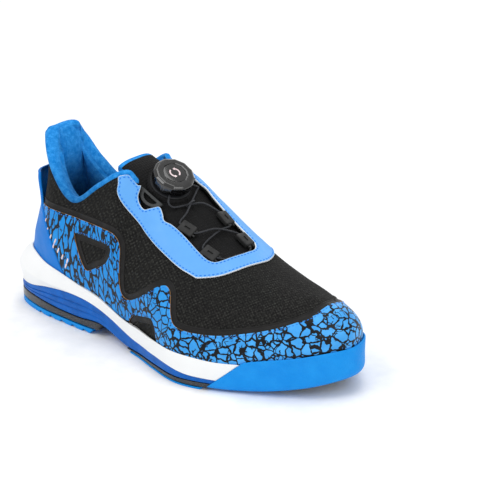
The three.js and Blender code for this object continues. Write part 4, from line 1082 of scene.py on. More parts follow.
def make_toe_wrap():
    """The moulded toe guard, rounded at its foot and rolled over a bevel at its top."""
    s = ROUND

    def foot(x):
        return toe_spring(x) + 1.4

    t_edge = wall_at(s, WRAP_TOP(along(4, s)[:, 0]))
    edge = form(s, t_edge, RIM_CLEARANCE + 1.5)
    low = sole_point(s, 0, lambda x: foot(x) + 4)
    controls = [sole_point(s, 9, foot), sole_point(s, 4, foot),
                sole_point(s, 1.2, lambda x: foot(x) + 1.4), sole_point(s, 0, lambda x: foot(x) + 5)]
    middle = low + (edge - low) * 0.55
    hold = sole_point(s, 0.2, foot)
    belly = hold * 0.6 + middle * 0.4
    belly[:, 2] = middle[:, 2]
    controls += [belly, edge, form(s, t_edge, RIM_CLEARANCE + 0.6) + [0, 0, 0.5],
                 form(s, t_edge, RIM_CLEARANCE), form(s, np.maximum(t_edge - 0.1, 0), RIM_CLEARANCE),
                 form(s, 0.02, RIM_CLEARANCE - 3)]
    rings = [controls[0]]
    rings += [catmull(*controls[i - 1:i + 3], k / 6) for i in range(1, 5) for k in range(6)]
    rings += controls[5:]
    piece = ring_body("toe_guard", rings, "rubber_blue", cap=False, slot="rubber_blue", replaces="toe_wrap")
    clean(piece, WRAP_ZONE)
    piece.data.set_sharp_from_angle(angle=math.radians(50))


# ---------------------------------------------------------------- upper
PRINT_LINE = [[26, 77.5], [34, 82], [43, 84], [60, 84.6], [80, 85], [100, 85], [111, 84.5], [117, 81.5],
              [120.5, 75], [121.5, 62], [122, 50], [124.5, 42.5], [130, 40.2], [137, 42], [150, 50],
              [160, 57.5], [167, 61], [171.5, 61], [176, 57], [181, 46], [187, 39.8], [200, 38.2], [219, 39],
              [235, 42], [251, 46.3], [265, 51.5], [274, 56]]
PRINT_END = [[280, 66], [283, 90], [340, 90], [340, -10], [78, -10]]
COUNTER_LINE = [[68, 28], [60, 40], [54, 52], [47, 65], [38, 76.5], [31, 83], [28, 90], [27, 102]]
WINDOW = [[73.5, 72.5], [77, 74.2], [92, 74.6], [107, 74.6], [111.6, 73.2], [111.8, 69.5], [107.5, 61],
          [98, 55], [89.5, 50], [86, 49.2], [83, 52], [78, 61]]
ARCH_WINDOW = [[130, -5], [130.5, 14], [132, 24], [138.5, 30.5], [150, 34], [159, 36.4], [163.5, 35.6],
               [167, 30], [170, 16], [172, -5]]
BORDER_WIDTH = 4.6
EYESTAY_LOWER = [[106, 130], [110, 119], [111, 113], [115, 107], [123, 99], [134, 91], [147, 84], [161, 78],
                 [174, 73], [186, 69.5], [196, 66], [215, 60]]
EYESTAY_FRONT = [[172, -43.5], [186, -38], [196, -31.5], [203, -24], [208, -13.5], [211.5, 0], [213.2, 9],
                 [212.4, 15.5], [208, 24.5], [200, 33], [190, 43]]
THROAT_LATERAL = [[92, -21], [108, -22.4], [114, -20.2], [120.4, -17.8], [122, -20], [123, -23.4],
                  [126, -24.8], [131, -24.6], [137, -21.8], [140.5, -19.8], [144.5, -21.5], [148, -23.6],
                  [155, -22.6], [166, -22.8], [182, -24.2], [189.5, -23.6]]
THROAT_FRONT = [[194.5, -19.5], [198.5, -8], [200.5, 4], [200.7, 12]]
THROAT_MEDIAL = [[196.5, 17.6], [189, 19], [180, 19.2], [166, 19.6], [155, 20.4], [148, 21.9], [144.5, 20],
                 [140.5, 18.4], [137, 20.3], [131, 22.9], [126, 23], [123, 21.8], [122, 18.6], [120.4, 16.6],
                 [114, 18.8], [108, 20.8], [92, 19.5]]
MEDIAL_SHARE = 0.93           # the medial throat's half width as a share of the lateral one


def form_above(place, guess):
    """Station and height of the form's point above a place in plan, found from a guess."""
    s, t = guess
    h = 1e-3
    for _ in range(12):
        point = form_point(s, t)
        ds = (form_point(s + h, t) - point) / h
        dt = (point - form_point(s, t - h)) / h
        miss = np.array(place) - point[:2]
        det = ds[0] * dt[1] - dt[0] * ds[1]
        s += (miss[0] * dt[1] - miss[1] * dt[0]) / det
        t = min(t + (miss[1] * ds[0] - miss[0] * ds[1]) / det, 1.0)
    return s, t


ROLL_SEAM_ANGLE = 0.75        # where the roll's seam groove runs, in radians up from its outer side
BINDING_TURN = 4.9            # station at which the roll turns in along the throat
BINDING_FRONT = [[111.6, -22.4], [114.2, -20.2], [117.3, -18.9], [120.2, -17.9]]


def binding_path():
    """Stations and heights along the collar's edge, which turns in along the throat on both sides."""
    medial = [form_above((x, -y * MEDIAL_SHARE), (-5.3, 0.96)) for x, y in BINDING_FRONT][::-1]
    lateral = [form_above(place, (5.3, 0.96)) for place in BINDING_FRONT]
    middle = [(BINDING_TURN * k / 26, 1.0) for k in range(-26, 27)]
    path = spline(medial + middle + lateral, 5)
    return path[:, 0], np.minimum(path[:, 1], 1.0)


def from_heel(net):
    """How many stations a net's points lie away from the middle of the heel."""
    return np.minimum(net[:, S], LOOP - net[:, S])


def outline_fields():
    """The fields of the upper's layers, all measured on the form's surface."""
    counter = spline(COUNTER_LINE, 8)
    counter_zone = np.concatenate([counter, [[24, 102], [6, 97], [-30, 93], [-30, -10], [68, -10]]])
    above_counter_line = [[x + 0.4, z + 0.2] for x, z in COUNTER_LINE[:6]]
    top = spline(PRINT_LINE, 8)
    print_zone = np.concatenate([spline(above_counter_line, 8), top[16:], PRINT_END])
    window = spline(WINDOW, 6, closed=True)
    arch = spline(ARCH_WINDOW, 8)
    lower = np.concatenate([spline(EYESTAY_LOWER, 8), [[240, 60], [240, 170], [100, 170]]])
    front = np.concatenate([[[80, -60]], spline(EYESTAY_FRONT, 8), [[80, 60]]])
    throat = plan_field(spline(THROAT_LATERAL + THROAT_FRONT + THROAT_MEDIAL, 8))
    throat = np.where(BASE[:, 2] > 58, throat, -30)
    printed = np.minimum(side_field(print_zone), np.minimum(-side_field(window), -side_field(arch)))
    eyestay = np.minimum(np.minimum(side_field(lower), plan_field(front)), 0.6 - throat)
    reach = np.full(len(BASE), 1e9)
    for point in form_point(*binding_path()):
        reach = np.minimum(reach, np.linalg.norm(BASE[:, POINT] - point, axis=1))
    eyestay = np.minimum(eyestay, reach - 2.6)
    counter = np.minimum(side_field(counter_zone), (4 - from_heel(BASE)) * 20)
    return throat, printed, eyestay, counter


THROAT, PRINTED, EYESTAY, COUNTER = outline_fields()


def make_upper():
    """The knitted shell, its welded border film, the crackle print and the eyestay."""
    collar = (1 - BASE[:, T]) * 60 - 1.2
    shell = np.where(from_heel(BASE) < RIDGE - 0.5, np.minimum(-THROAT, collar), -THROAT)
    net, triangles = patch(shell, (0.3, 0.8))
    solid_sheet("knit_shell", net, triangles, 0.0, -1.6 + 0.4 * (net[:, FIELD] < 0.1), "knit", slot="knit",
                replaces="upper_shell")

    border = np.minimum(np.minimum(PRINTED + BORDER_WIDTH, -THROAT - 2), 3.0 - PRINTED)
    net, triangles = patch(border, (0.15, 0.45, 0.8, 1.3))
    ridge = np.exp(-((net[:, FIELD] - 0.6) / 0.42) ** 2) * (net[:, FIELD] < 2.5)
    lift = 0.24 * rounded(net[:, FIELD], 0.5) + 0.34 * ridge
    solid_sheet("print_border", net, triangles, np.where(net[:, FIELD] < 1e-6, 0.0, lift), 0.0, "border",
                slot="print_film")

    net, triangles = patch(PRINTED, EDGE_LEVELS)
    solid_sheet("crackle_print", net, triangles, GAP + 1.0 * rounded(net[:, FIELD]), GAP,
                ["print_film", "print_edge"], edge_width=0.16, slot="print_film", replaces="print_overlay")
    stitch_row("print_stitches", contour(net, triangles, 1.5), "thread_print", pitch=2.7, length=1.7,
               width=0.5, height=0.22, lift=1.28, slot="print_film",
               keep=lambda p: p[2] > MIDSOLE_TOP(p[0]) + 5 and not (p[0] < 75 and p[2] < 76))

    net, triangles = patch(EYESTAY, EDGE_LEVELS)
    solid_sheet("sky_eyestay", net, triangles, GAP + 1.2 * rounded(net[:, FIELD]), GAP,
                ["eyestay_film", "film_edge"], edge_width=0.42, slot="eyestay_film", replaces="eyestay")
    stitch_row("eyestay_stitches", contour(net, triangles, 1.7), "thread", pitch=2.9, length=1.75,
               width=0.75, height=0.32, lift=1.46, slot="eyestay_film",
               keep=lambda p: p[0] > TONGUE_START + 2)


def on_side(places):
    """Points and normals of the form's lateral side at places in side view, from the net's nearest points."""
    lateral = BASE[BASE[:, 1] < -8]
    found = []
    for place in places:
        away = np.hypot(lateral[:, 0] - place[0], lateral[:, 2] - place[1])
        near = np.argsort(away, kind="stable")[:8]
        weight = 1 / (away[near] + 0.05) ** 2
        found.append((lateral[near, :6] * weight[:, None]).sum(axis=0) / weight.sum())
    return np.array(found)


SIDE_STROKES = 7


def make_side_mark():
    """A plain row of slanted white strokes along the print's rear edge."""
    reach = np.linspace(-1, 1, 7)
    lines = []
    for k in range(SIDE_STROKES):
        x, z = 39.5 + 4.3 * k, 71.5 - 3.8 * k
        size = 3.2 if k % 3 else 4.4
        lines.append(on_side(zip(x + reach * size * 0.45, z + reach * size)))
    stitch_row("side_mark", lines, "icon", pitch=4.0, length=5.0, width=1.5, height=0.3, lift=1.25,
               slot="print_film")


TAB_STANDOFF = 8.5            # how far the pull tab's top stands off the heel


def make_counter():
    """The moulded heel counter, whose top stands off the heel as a pull tab."""
    net, triangles = patch(COUNTER, (0.2, 0.6, 1.2, 2.2))
    z = net[:, 2]
    field = net[:, FIELD]
    rise = TAB_STANDOFF * smoothstep(76, 99, z) * (1 - 0.8 * smoothstep(0.2, 1.4, from_heel(net)))
    thick = 1.0 + 0.7 * smoothstep(48, 60, z)
    lip = 0.5 * np.exp(-((field - 1.2) / 0.8) ** 2) * smoothstep(74, 92, z)
    inner = GAP + np.maximum(rise - 0.2, 0)
    solid_sheet("heel_counter_shell", net, triangles, inner + (thick + lip) * rounded(field, 1.2), inner,
                "counter_tpu", slot="counter_tpu", replaces="heel_counter")


LINING_CLOTH = {"quality": 6, "mass": 0.002, "tension_stiffness": 3, "compression_stiffness": 3,
                "shear_stiffness": 1.5, "bending_stiffness": 0.1, "use_pressure": True,
                "uniform_pressure_force": 500.0}
LINING_FRAMES = 20
LINING_BACK = 3.3             # how far the lining's back lies inside the upper's outer face
LINING_CAP = 0.0028           # how far the simulation may carry the lining's cloth, in metres
LINING_SEAM = 0.95            # station of the seam between the heel's pad and a side pad


def puffed(sheet, held):
    """Where a sheet of cloth, rows by columns of points, comes to rest when its padding presses on it.
    held marks the points that are sewn down."""
    start = to_row(sheet.reshape(-1, 3))
    mesh = bpy.data.meshes.new("sheet")
    mesh.from_pydata(start.tolist(), [], [f[::-1] for f in grid_faces(*held.shape)])
    cloth = linked("sheet", mesh)
    pins = cloth.vertex_groups.new(name="sewn")
    pins.add(np.flatnonzero(held).tolist(), 1.0, "REPLACE")
    modifier = cloth.modifiers.new("cloth", "CLOTH")
    settings = modifier.settings
    for key, value in LINING_CLOTH.items():
        setattr(settings, key, value)
    settings.vertex_group_mass = "sewn"
    settings.effector_weights.gravity = 0
    modifier.point_cache.frame_end = LINING_FRAMES
    scene = bpy.context.scene
    for step in range(1, LINING_FRAMES + 1):
        scene.frame_set(step)
    result = cloth.evaluated_get(bpy.context.evaluated_depsgraph_get()).data
    moved = np.zeros(len(result.vertices) * 3)
    result.vertices.foreach_get("co", moved)
    moved = moved.reshape(-1, 3) - start
    scene.frame_set(1)
    bpy.data.objects.remove(cloth)
    bpy.data.meshes.remove(mesh)
    length = np.linalg.norm(moved, axis=1, keepdims=True)
    moved *= LINING_CAP * np.tanh(length / LINING_CAP) / np.maximum(length, 1e-9)
    return sheet + moved.reshape(sheet.shape) / MM


def make_collar():
    """The flocked binding roll and the padded lining of the ankle."""
    s, t = binding_path()
    top = form_point(s, t)
    out = form_normal(s, t)
    out = unit(out + np.roll(out, 1, axis=0) + np.roll(out, -1, axis=0))
    run = np.gradient(top, axis=0)
    up = unit(np.cross(out, run))
    out[0], out[-1], up[0], up[-1] = out[1], out[-2], up[1], up[-2]
    front = smoothstep(2, 4.2, np.abs(s))
    turn = smoothstep(4.8, 5.2, np.abs(s))
    heel = smoothstep(2.6, 0.8, np.abs(s))
    wide = 4.9 + 0.7 * heel - 2.6 * front - 0.4 * turn
    high = 2.9 + 0.9 * heel - 0.8 * front
    centre = top + out * (1.2 - wide + 0.9 * turn)[:, None] + up * (0.9 - high)[:, None]
    end = np.minimum(np.arange(len(s)), np.arange(len(s))[::-1])
    taper = np.sqrt(np.clip(end / 2.5, 0.04, 1))
    sides = 28
    rows = []
    for k in range(sides):
        angle = 2 * math.pi * k / sides
        seam = 1 - 0.1 * math.exp(-((angle - ROLL_SEAM_ANGLE) / 0.2) ** 2)
        squash = abs(math.cos(angle)) ** 0.85 * math.copysign(1, math.cos(angle))
        rows.append(centre + out * (wide * seam * squash * taper)[:, None]
                    + up * (high * seam * math.sin(angle) * taper)[:, None])
    count = len(s)
    faces = grid_faces(sides, count, wrap_rows=True)
    faces += [range(0, sides * count, count), range(sides * count - 1, 0, -count)]
    roll = clean(make_mesh("collar_roll", np.concatenate(rows), faces, "flock", slot="flock",
                           replaces="collar_binding"))

    grid_s, grid_t = np.meshgrid(np.linspace(-5.0, 5.0, 170), np.linspace(0.06, 0.985, 60))
    back = form(grid_s, grid_t, -LINING_BACK)
    front = form(grid_s, grid_t, -LINING_BACK - lining_depth(grid_s, grid_t))
    seam = np.abs(np.abs(grid_s) - LINING_SEAM) < 0.04
    edge = (np.abs(grid_s) > 4.7) | (grid_t > 0.96)
    front = puffed(front, seam | edge | (grid_t < 0.42))
    lining = clean(make_mesh("ankle_lining", *slab(front, back), "flock", slot="flock",
                             replaces=("collar_lining", "collar_foam")))


def lining_depth(s, t):
    """How far the padded lining stands in from the upper: a pad at the heel's rim and one on either side,
    with hollows between them."""
    a = np.abs(s)
    crown = np.sin(np.pi * np.clip((t - 0.4) / 0.75, 0, 1)) ** 0.7
    side = 5.6 * smoothstep(0.8, 1.6, a) * smoothstep(5.0, 3.4, a) * crown * smoothstep(0.42, 0.62, t)
    rim = 5.4 * smoothstep(1.0, 0.35, a) * np.sin(np.pi * np.clip((t - 0.45) / 0.66, 0, 1)) ** 0.8
    return 1.2 + side + rim + 2.2 * smoothstep(0.3, 0.5, t) * smoothstep(5.1, 4.2, a)


# ---------------------------------------------------------------- tongue
MIDDLE_LINE = through([[98, 133.5], [108, 129.8], [116, 126.4], [124, 122], [134, 116.7], [148, 108.5],
                       [162, 99.7], [176, 91], [190, 83], [204, 76.1], [226, 69.5]])
INSTEP_TILT = through([[102, 0], [112, 0.05], [122, 0.2], [128, 0.25], [134, 0.22], [148, 0.176],
                       [162, 0.14], [176, 0.111], [190, 0.09], [204, 0.076]])
LATERAL_FALL = through([[102, 0.35], [112, 0.5], [122, 0.645], [134, 0.69], [148, 0.524], [162, 0.406],
                        [176, 0.327], [190, 0.283], [204, 0.272]])
MEDIAL_FALL = through([[102, 0.5], [112, 0.6], [122, 0.77], [128, 0.74], [134, 0.5], [141, 0.42],
                       [148, 0.43], [162, 0.37], [176, 0.344], [190, 0.311], [204, 0.303]])
TONGUE_START, TONGUE_END = 102, 204
TONGUE_HALF = through([[102, 19.5], [112, 18.5], [122, 22], [134, 28], [176, 30], [204, 26]])
MEDIAL_HALF = 0.88            # the tongue's medial half width as a share of the lateral one
TONGUE_DEPTH = 3.2            # how far the tongue's face lies below the instep's surface


def instep(x, y):
    """Points of the instep: its middle line, tilted across and falling to either side."""
    x, y = np.broadcast_arrays(np.asarray(x, float), np.asarray(y, float))
    fall = np.where(y > 0, MEDIAL_FALL(x), LATERAL_FALL(x)) * np.abs(y) ** 3 / 1000
    return np.stack([x, y, MIDDLE_LINE(x) + INSTEP_TILT(x) * y - fall], axis=-1)


def instep_normal(x, y):
    run = instep(x + 0.5, y) - instep(x - 0.5, y)
    return unit(np.cross(run, instep(x, y + 0.5) - instep(x, y - 0.5)))


def over_tongue(x, y, up):
    return instep(x, y) + instep_normal(x, y) * np.asarray(up - TONGUE_DEPTH)[..., None]


def make_tongue():
    """The woven tongue cover with its middle fold, and the lining that shows at its top edge."""
    columns, rows = 60, 110
    x = np.linspace(TONGUE_START, TONGUE_END, rows)
    across = np.linspace(-1, 1, columns)
    grid_x, grid_a = np.meshgrid(x, across, indexing="ij")
    y = grid_a * TONGUE_HALF(grid_x) * np.where(grid_a > 0, MEDIAL_HALF, 1)
    crown_in = 1 - grid_a ** 8
    fold = 0.55 * np.exp(-(y / 1.1) ** 2) * smoothstep(146, 156, grid_x)
    ripple = 0.28 * np.sin(grid_x / 4.3 + 0.6 * np.sin(y / 7)) * smoothstep(144, 152, grid_x)
    edge = np.maximum(smoothstep(TONGUE_START + 2.2, TONGUE_START + 1.4, grid_x),
                      smoothstep(0.955, 0.975, np.abs(grid_a)))
    wave = 0.25 * crown_in - fold + ripple - 0.3
    layers = (("tongue_cloth", ["tongue_fabric", "flock"], "tongue_cover", 0.0, -1.2, "tongue_fabric", 1.0),
              ("tongue_padding", "foam", "tongue_foam", -1.5, -4.6, "foam", 0.2),
              ("tongue_back", "flock", "tongue_lining", -4.9, -5.9, "flock", 0.2))
    for name, finish, node, outer, inner, slot, share in layers:
        cover = name == "tongue_cloth"
        at_x = grid_x if cover else np.maximum(grid_x, TONGUE_START + 2.6)
        at_y = y if cover else y * 0.94
        face = over_tongue(at_x, at_y, outer + share * wave - (0.5 * edge ** 2 if cover else 0))
        back = over_tongue(at_x, at_y, inner + 0 * y - (4.5 * edge if cover else 0))
        vertices, faces = slab(face, back)
        indices = None
        if cover:
            indices = [int(vertices[list(f), 0].mean() < TONGUE_START + 1.5) for f in faces]
        else:
            vertices, faces = weld(vertices, faces)
        piece = clean(make_mesh(name, vertices, faces, finish, slot=slot, replaces=node, indices=indices))
        if finish != "foam":
            piece.data.set_sharp_from_angle(angle=math.radians(60))


# ---------------------------------------------------------------- dial
DIAL_X = 134
DIAL_TILT = math.radians(29.4)    # towards the toe
DIAL_ROLL = math.radians(8)       # towards the lateral side
DIAL_SEAT = instep(DIAL_X, 0.0) + instep_normal(DIAL_X, 0.0) * (0.5 - TONGUE_DEPTH + GAP)
POST_MIDDLE = (2.4 + 11.3) / 2
KNOB_FLATS = 12
SHIELD_RIBS = 44


def on_dial(x, y, z):
    """Points given about the dial's axis, in the shoe's frame."""
    x, y, z = np.broadcast_arrays(*(np.asarray(v, float) for v in (x, y, z)))
    c, s = math.cos(DIAL_ROLL), math.sin(DIAL_ROLL)
    y, z = y * c - z * s, y * s + z * c
    c, s = math.cos(DIAL_TILT), math.sin(DIAL_TILT)
    return np.stack([x * c + z * s, y, -x * s + z * c], axis=-1) + DIAL_SEAT


SHIFT = np.mean(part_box("dial_post"), axis=0) - on_dial(0, 0, POST_MIDDLE) * MM    # shoe's frame to row frame


def turned(name, profile, finish, body, radius=lambda angle, z: 1.0, segments=144, closed=False, sharp=35,
           **options):
    """A body turned about the dial's axis. Its profile is (radius, height); radius() shapes each ring."""
    angle = np.arange(segments) * 2 * math.pi / segments
    rings = []
    for r, z in profile:
        share = np.broadcast_to(radius(angle, z), len(angle))
        rings.append(on_dial(r * share * np.cos(angle), r * share * np.sin(angle), z))
    vertices, faces = weld(np.concatenate(rings), barrel(len(profile), segments, closed))
    return clean(make_mesh(name, vertices, faces, finish, body=body, sharp=sharp, **options))


def knob_facets(angle, z):
    """Twelve flats round the knob with a soft groove at each corner."""
    step = 2 * math.pi / KNOB_FLATS
    inside = (angle + step / 2) % step - step / 2
    flat = math.cos(step / 2) / np.cos(inside)
    dip = 0.028 * np.exp(-((np.abs(inside) - step / 2) / 0.045) ** 2)
    return flat * 1.018 - dip * smoothstep(11.6, 9.5, z)


def make_dial():
    """The dial's shield, base, knob and badge. Its inner parts stay as the frame has them."""
    def oval(angle, z):
        ribs = 0.014 * np.cos(angle * SHIELD_RIBS) * smoothstep(-7.5, -3.0, z) * smoothstep(1.2, -0.6, z)
        return 0.88 + 0.14 * np.abs(np.cos(angle)) + ribs
    shield = [(0.4, -6), (15.6, -8.9), (16.7, -7.2), (17.5, -5.6), (17.7, -4.4), (17.6, -3.2), (17.3, -2.0),
              (16.9, -1.0), (16.4, -0.1), (15.7, 0.4), (0.4, 0.4)]
    turned("dial_shield_cloth", shield, "gathered", SHOE, oval, segments=8 * SHIELD_RIBS, sharp=None,
           slot="tongue_fabric", replaces="dial_shield")
    base = [(0.05, 0.7), (14.8, 0.7), (15, 0.85), (15, 1.2), (14.8, 1.4), (13.4, 2), (0.05, 2)]
    turned("dial_base_plate", base, "dial_inner", SHOE, slot="dial_inner", replaces="dial_base")
    knob = [(14.7, 4.2), (15.0, 4.45), (15.05, 5.0), (15.05, 9.9), (14.95, 10.5), (14.7, 10.9), (13.5, 11.9),
            (13.1, 12.15), (12.5, 12.25), (9.1, 12.3), (8.8, 12.2), (8.7, 11.6), (0.05, 11.6), (0.05, 9.2),
            (13.2, 9.2), (13.4, 9.0), (13.4, 4.4), (13.6, 4.2)]
    turned("knob_shell", knob, "dial_black", "knob", knob_facets, segments=288, closed=True, sharp=24,
           slot="dial_black", replaces="dial_knob")
    cap = [(0.05, 11.75), (8.3, 11.75), (8.4, 11.9), (8.4, 12.15), (8.2, 12.35), (7.6, 12.45), (5.0, 12.6),
           (0.05, 12.65)]
    turned("knob_badge_disc", cap, "dial_black", "knob", slot="dial_black", replaces="knob_cap")
    make_icon()


def make_icon():
    """A plain turn symbol on the cap: two arcs that end in arrowheads."""
    vertices, faces = [], []
    top, bottom = 12.68, 12.48
    for turn in (0, math.pi):
        start = len(vertices)
        tip = turn + 0.35 + 2.1
        rows = [(3.0, 4.1, angle) for angle in np.linspace(turn + 0.35, tip, 23)]
        rows += [(2.3, 4.8, tip), (3.45, 3.65, tip + 0.42)]
        for inner, outer, angle in rows:
            for r, z in ((inner, top), (inner, bottom), (outer, bottom), (outer, top)):
                vertices.append(on_dial(r * math.cos(angle), r * math.sin(angle), z - (r / 20) ** 2))
        faces += grid_faces(len(rows), 4, wrap_columns=True, start=start)
        faces += [range(start, start + 4), range(len(vertices) - 1, len(vertices) - 5, -1)]
    clean(make_mesh("knob_mark", np.array(vertices), faces, "icon", body="knob", smooth=False,
                    slot="dial_black"))


# ---------------------------------------------------------------- cable and guides
CABLE_RADIUS = 0.65           # every measure here is in millimetres
GUIDE_SPOTS = {-1: [[164, -17.4], [186, -18.8]], 1: [[171.5, 15.3], [190.5, 13.9]]}
D_GUIDE_X = 130.5
D_GUIDE_TURN = {-1: -18, 1: 12}    # degrees, for the lateral (-1) and the medial side (1)
D_GUIDE_OFFSETS = {-1: -19, 1: 19.8}
D_GUIDE_LIFT = -1.9
GUIDE_LIFT = -1.6
CABLE_LIFT = 2                # how far the cable's middle lies above the tongue


def seat(x, y, lift):
    """A frame on the instep: x down the instep, y towards the medial side, z off the surface."""
    normal = instep_normal(x, y)
    across = unit(instep(x, y + 0.5) - instep(x, y - 0.5))
    down = unit(np.cross(across, normal))
    across = np.cross(normal, down)
    origin = instep(x, y) + normal * lift

    def place(points):
        points = np.asarray(points, float)
        return points[..., :1] * down + points[..., 1:2] * across + points[..., 2:3] * normal + origin
    return place


def guide_seat(row, side):
    return seat(*GUIDE_SPOTS[side][row], GUIDE_LIFT)


def cable_through_guide(row, side, downwards):
    """The cable's points where it runs through a guide."""
    way = 1 if downwards else -1
    place = guide_seat(row, side)
    bend = ((-7, -1), (-3.5, 0.6), (0, 1.2), (3.5, 0.6), (7, -1))
    return [place([down * way, side * out, 1.4]) for down, out in bend]


def cable_over(*places):
    """The cable's points where it crosses the tongue. Each place is x, y and how far it is lifted more."""
    return [over_tongue(x, y, CABLE_LIFT + more) for x, y, more in places]


ROUTE = [
    on_dial(2.2, -7.5, 3.9), on_dial(8.4, -10, 3.4), on_dial(13.5, -15, 1.9),
    *cable_over((147, -13.5, 0.6), (152.5, -1.5, 0), (156.5, 9.5, 0)),
    *cable_through_guide(0, 1, True),
    *cable_over((177, 4, 0)),
    *cable_through_guide(1, -1, True),
    *cable_over((195, -13, 0), (198, 0, 0), (199, 9.5, 0)),
    *cable_through_guide(1, 1, False),
    *cable_over((175.5, 0, 1.7)),
    *cable_through_guide(0, -1, False),
    *cable_over((156.5, -9.5, 1.2), (152.5, 0.5, 1.7), (147, 13.5, 0.6)),
    on_dial(13.5, 15, 1.9), on_dial(8.4, 10, 3.4), on_dial(2.2, 7.5, 3.9),
]


def centripetal(points, steps=12):
    """A smooth line through points whose knots are set by the square root of their distance."""
    p = [np.asarray(q, float) for q in points]
    p = [2 * p[0] - p[1], *p, 2 * p[-1] - p[-2]]
    out = []
    for i in range(1, len(p) - 2):
        knots = [0.0]
        for a, b in zip(p[i - 1:i + 2], p[i:i + 3]):
            knots.append(knots[-1] + max(np.linalg.norm(b - a), 1e-6) ** 0.5)
        for k in range(steps):
            t = knots[1] + (knots[2] - knots[1]) * k / steps
            level = p[i - 1:i + 3]
            for width in (1, 2, 1):
                start = 1 if len(level) == 2 else 0
                spans = zip(level, level[1:], knots[start:], knots[start + width:])
                level = [((end - t) * a + (t - begin) * b) / (end - begin) for a, b, begin, end in spans]
            out.append(level[0])
    return np.array(out + [p[-2]])


def tube(name, path, radius, finish, sides=14, braid=2.2, closed=False, **options):
    """A round cord along a path, with u round it and v along it in braids."""
    path = np.asarray(path, float)
    tangent = np.gradient(path, axis=0)
    if closed:
        tangent = np.roll(path, -1, axis=0) - np.roll(path, 1, axis=0)
    tangent = unit(tangent)
    side = unit(np.cross(tangent[0], [0, 0.3, 1]))
    frames = []
    for direction in tangent:
        side = unit(side - direction * (side @ direction))
        frames.append((side, np.cross(direction, side)))
    travel = np.concatenate([[0], np.cumsum(np.linalg.norm(np.diff(path, axis=0), axis=1))])
    turn = np.arange(sides) / sides
    cos, sin = np.cos(2 * math.pi * turn), np.sin(2 * math.pi * turn)
    rings = [point + (np.outer(cos, a) + np.outer(sin, b)) * radius for point, (a, b) in zip(path, frames)]
    uv = [(share * 6 + run / braid * 3, run / braid * 3 - share * 6) for run in travel for share in turn]
    return clean(make_mesh(name, np.concatenate(rings), barrel(len(path), sides, closed), finish,
                           uv=np.array(uv), **options))


def rounded_outline(length, width, radius, steps=6):
    """A rectangle with round corners, counter-clockwise."""
    points = []
    for cx, cy, start in ((1, -1, -90), (1, 1, 0), (-1, 1, 90), (-1, -1, 180)):
        for k in range(steps + 1):
            angle = math.radians(start + 90 * k / steps)
            points.append((cx * (length / 2 - radius) + radius * math.cos(angle),
                           cy * (width / 2 - radius) + radius * math.sin(angle)))
    return np.array(points)


def plate(name, place, outline, low, high, bevel, hollow=None, **options):
    """A guide's plate over an outline with a rounded upper edge, and a recess where hollow gives one."""
    def level(shrink, z, of=outline):
        middle = of.mean(axis=0)
        reach = np.abs(of - middle).max()
        ring = middle + (of - middle) * (1 - shrink / reach)
        return np.insert(ring, 2, z, axis=1)

    rings = [level(0.15, low), level(0, low + 0.15)]
    for k in range(6):
        angle = math.pi / 2 * k / 5
        rings.append(level(bevel * (1 - math.cos(angle)), high - bevel + bevel * math.sin(angle)))
    count = len(outline)
    faces = barrel(len(rings), count)
    top = (len(rings) - 1) * count
    if hollow:
        faces.pop()
        recess, deep = hollow
        rings += [level(-0.12, high, recess), level(0, high - 0.12, recess), level(0.02, high - deep, recess)]
        start = len(rings) - 3
        faces += grid_faces(2, count, wrap_columns=True, start=top)
        faces += grid_faces(3, count, wrap_columns=True, start=start * count)
        faces.append(range((start + 2) * count, (start + 3) * count))
    clean(make_mesh(name, place(np.concatenate(rings)), faces, "guide", sharp=40, slot="guide", **options))


def make_guides():
    """Cable guides on both sides, the half-round dial guides and the cord keeper."""
    outline = rounded_outline(11.6, 9.2, 0.7)
    recess = rounded_outline(4.4, 1.6, 0.45)
    for side, word in ((-1, "lateral"), (1, "medial")):
        for row in range(2):
            place = guide_seat(row, side)
            name = f"{word}_guide_{row + 1}"
            plate(f"{name}_body", place, outline, -0.05, 2.9, 0.7, hollow=(recess, 0.9), replaces=name)
            for prong in (-2.2, 2.2):
                tip = rounded_outline(2.6, 1.3, 0.45, 4) + [6.6, prong]
                word_at = "inner" if prong * side > 0 else "outer"
                plate(f"{name}_prong_{word_at}", place, tip, 0.3, 2.0, 0.4)
        make_d_guide(side, word)
    place = seat(152.5, -0.2, CABLE_LIFT + 0.2 - TONGUE_DEPTH)
    ring = [place([0.66 * math.sin(a), 3.3 * math.cos(a), 3.1 * math.sin(a)])
            for a in np.linspace(0, 2 * math.pi, 72, endpoint=False)]
    tube("keeper_loop", ring, 0.72, "cable", closed=True, slot="cable", replaces="cable_keeper")
    tube("lace_cord", centripetal(ROUTE), CABLE_RADIUS, "cable", slot="cable", replaces="lace_cable")


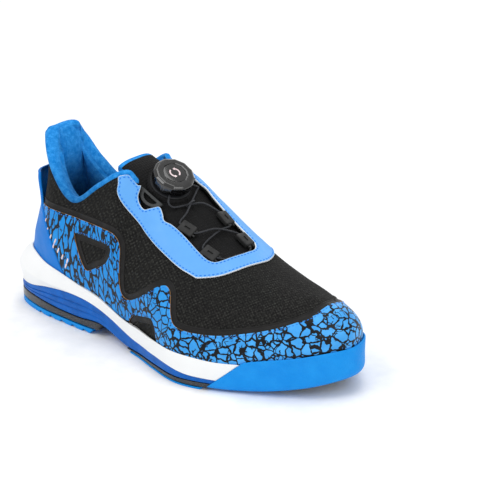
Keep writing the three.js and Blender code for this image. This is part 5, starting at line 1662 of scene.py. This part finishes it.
def half_round(half, depth, bar):
    """The outline of half an ellipse above a straight bar."""
    angles = np.linspace(0, math.pi, 41)
    arch = np.stack([half * np.cos(angles), bar + depth * np.sin(angles)], axis=1)
    straight = np.linspace([-half, bar], [half, bar], 21)[1:-1]
    return np.concatenate([arch, straight])


def make_d_guide(side, word):
    """A half-round hoop beside the dial, whose bar lies against the shield."""
    thick, bevel = 1.8, 0.45
    place = seat(D_GUIDE_X, D_GUIDE_OFFSETS[side], D_GUIDE_LIFT)
    outer, inner = half_round(10.6, 8.0, 0), half_round(6.4, 3.8, 2.0)
    edge = ((0, 0), (0, thick - bevel), (0.027, thick - 0.12), (0.09, thick))
    rings = [(outer + (inner - outer) * share, z) for share, z in edge]
    rings += [(inner + (outer - inner) * share, z) for share, z in edge[::-1]]
    points = np.concatenate([np.insert(ring, 2, z, axis=1) for ring, z in rings])
    if side < 0:
        points[:, :2] *= -1
    points[:, 1] += -side * 3
    turn = math.radians(D_GUIDE_TURN[side])
    c, s = math.cos(turn), math.sin(turn)
    points[:, :2] = points[:, :2] @ np.array([[c, s], [-s, c]])
    faces = grid_faces(len(rings), len(outer), wrap_rows=True, wrap_columns=True)
    clean(make_mesh(f"{word}_dial_hoop", place(points), faces, "d_guide", sharp=40, slot="d_guide",
                    replaces=f"{word}_d_guide"))


# ---------------------------------------------------------------- finishes of the CAD pieces that stay
KEPT = {
    "hook_tape": ("heel_hook_tape", "forefoot_hook_tape"),
    "steel": ("shank", "dial_post", "detent_spring"),
    "board": ("lasting_board", "toe_puff", "heel_stiffener"),
    "flock": ("sockliner",),
    "dial_inner": ("dial_housing", "dial_spool", "ratchet_disc"),
}


def dress_kept_nodes():
    for finish, names in KEPT.items():
        for name in names:
            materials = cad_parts[name].data.materials
            materials.clear()
            materials.append(FINISH[finish])


make_camera()
make_studio()
make_midsole()
make_sidewall()
make_pads()
make_toe_wrap()
make_upper()
make_side_mark()
make_counter()
make_collar()
make_tongue()
make_dial()
make_guides()
dress_kept_nodes()
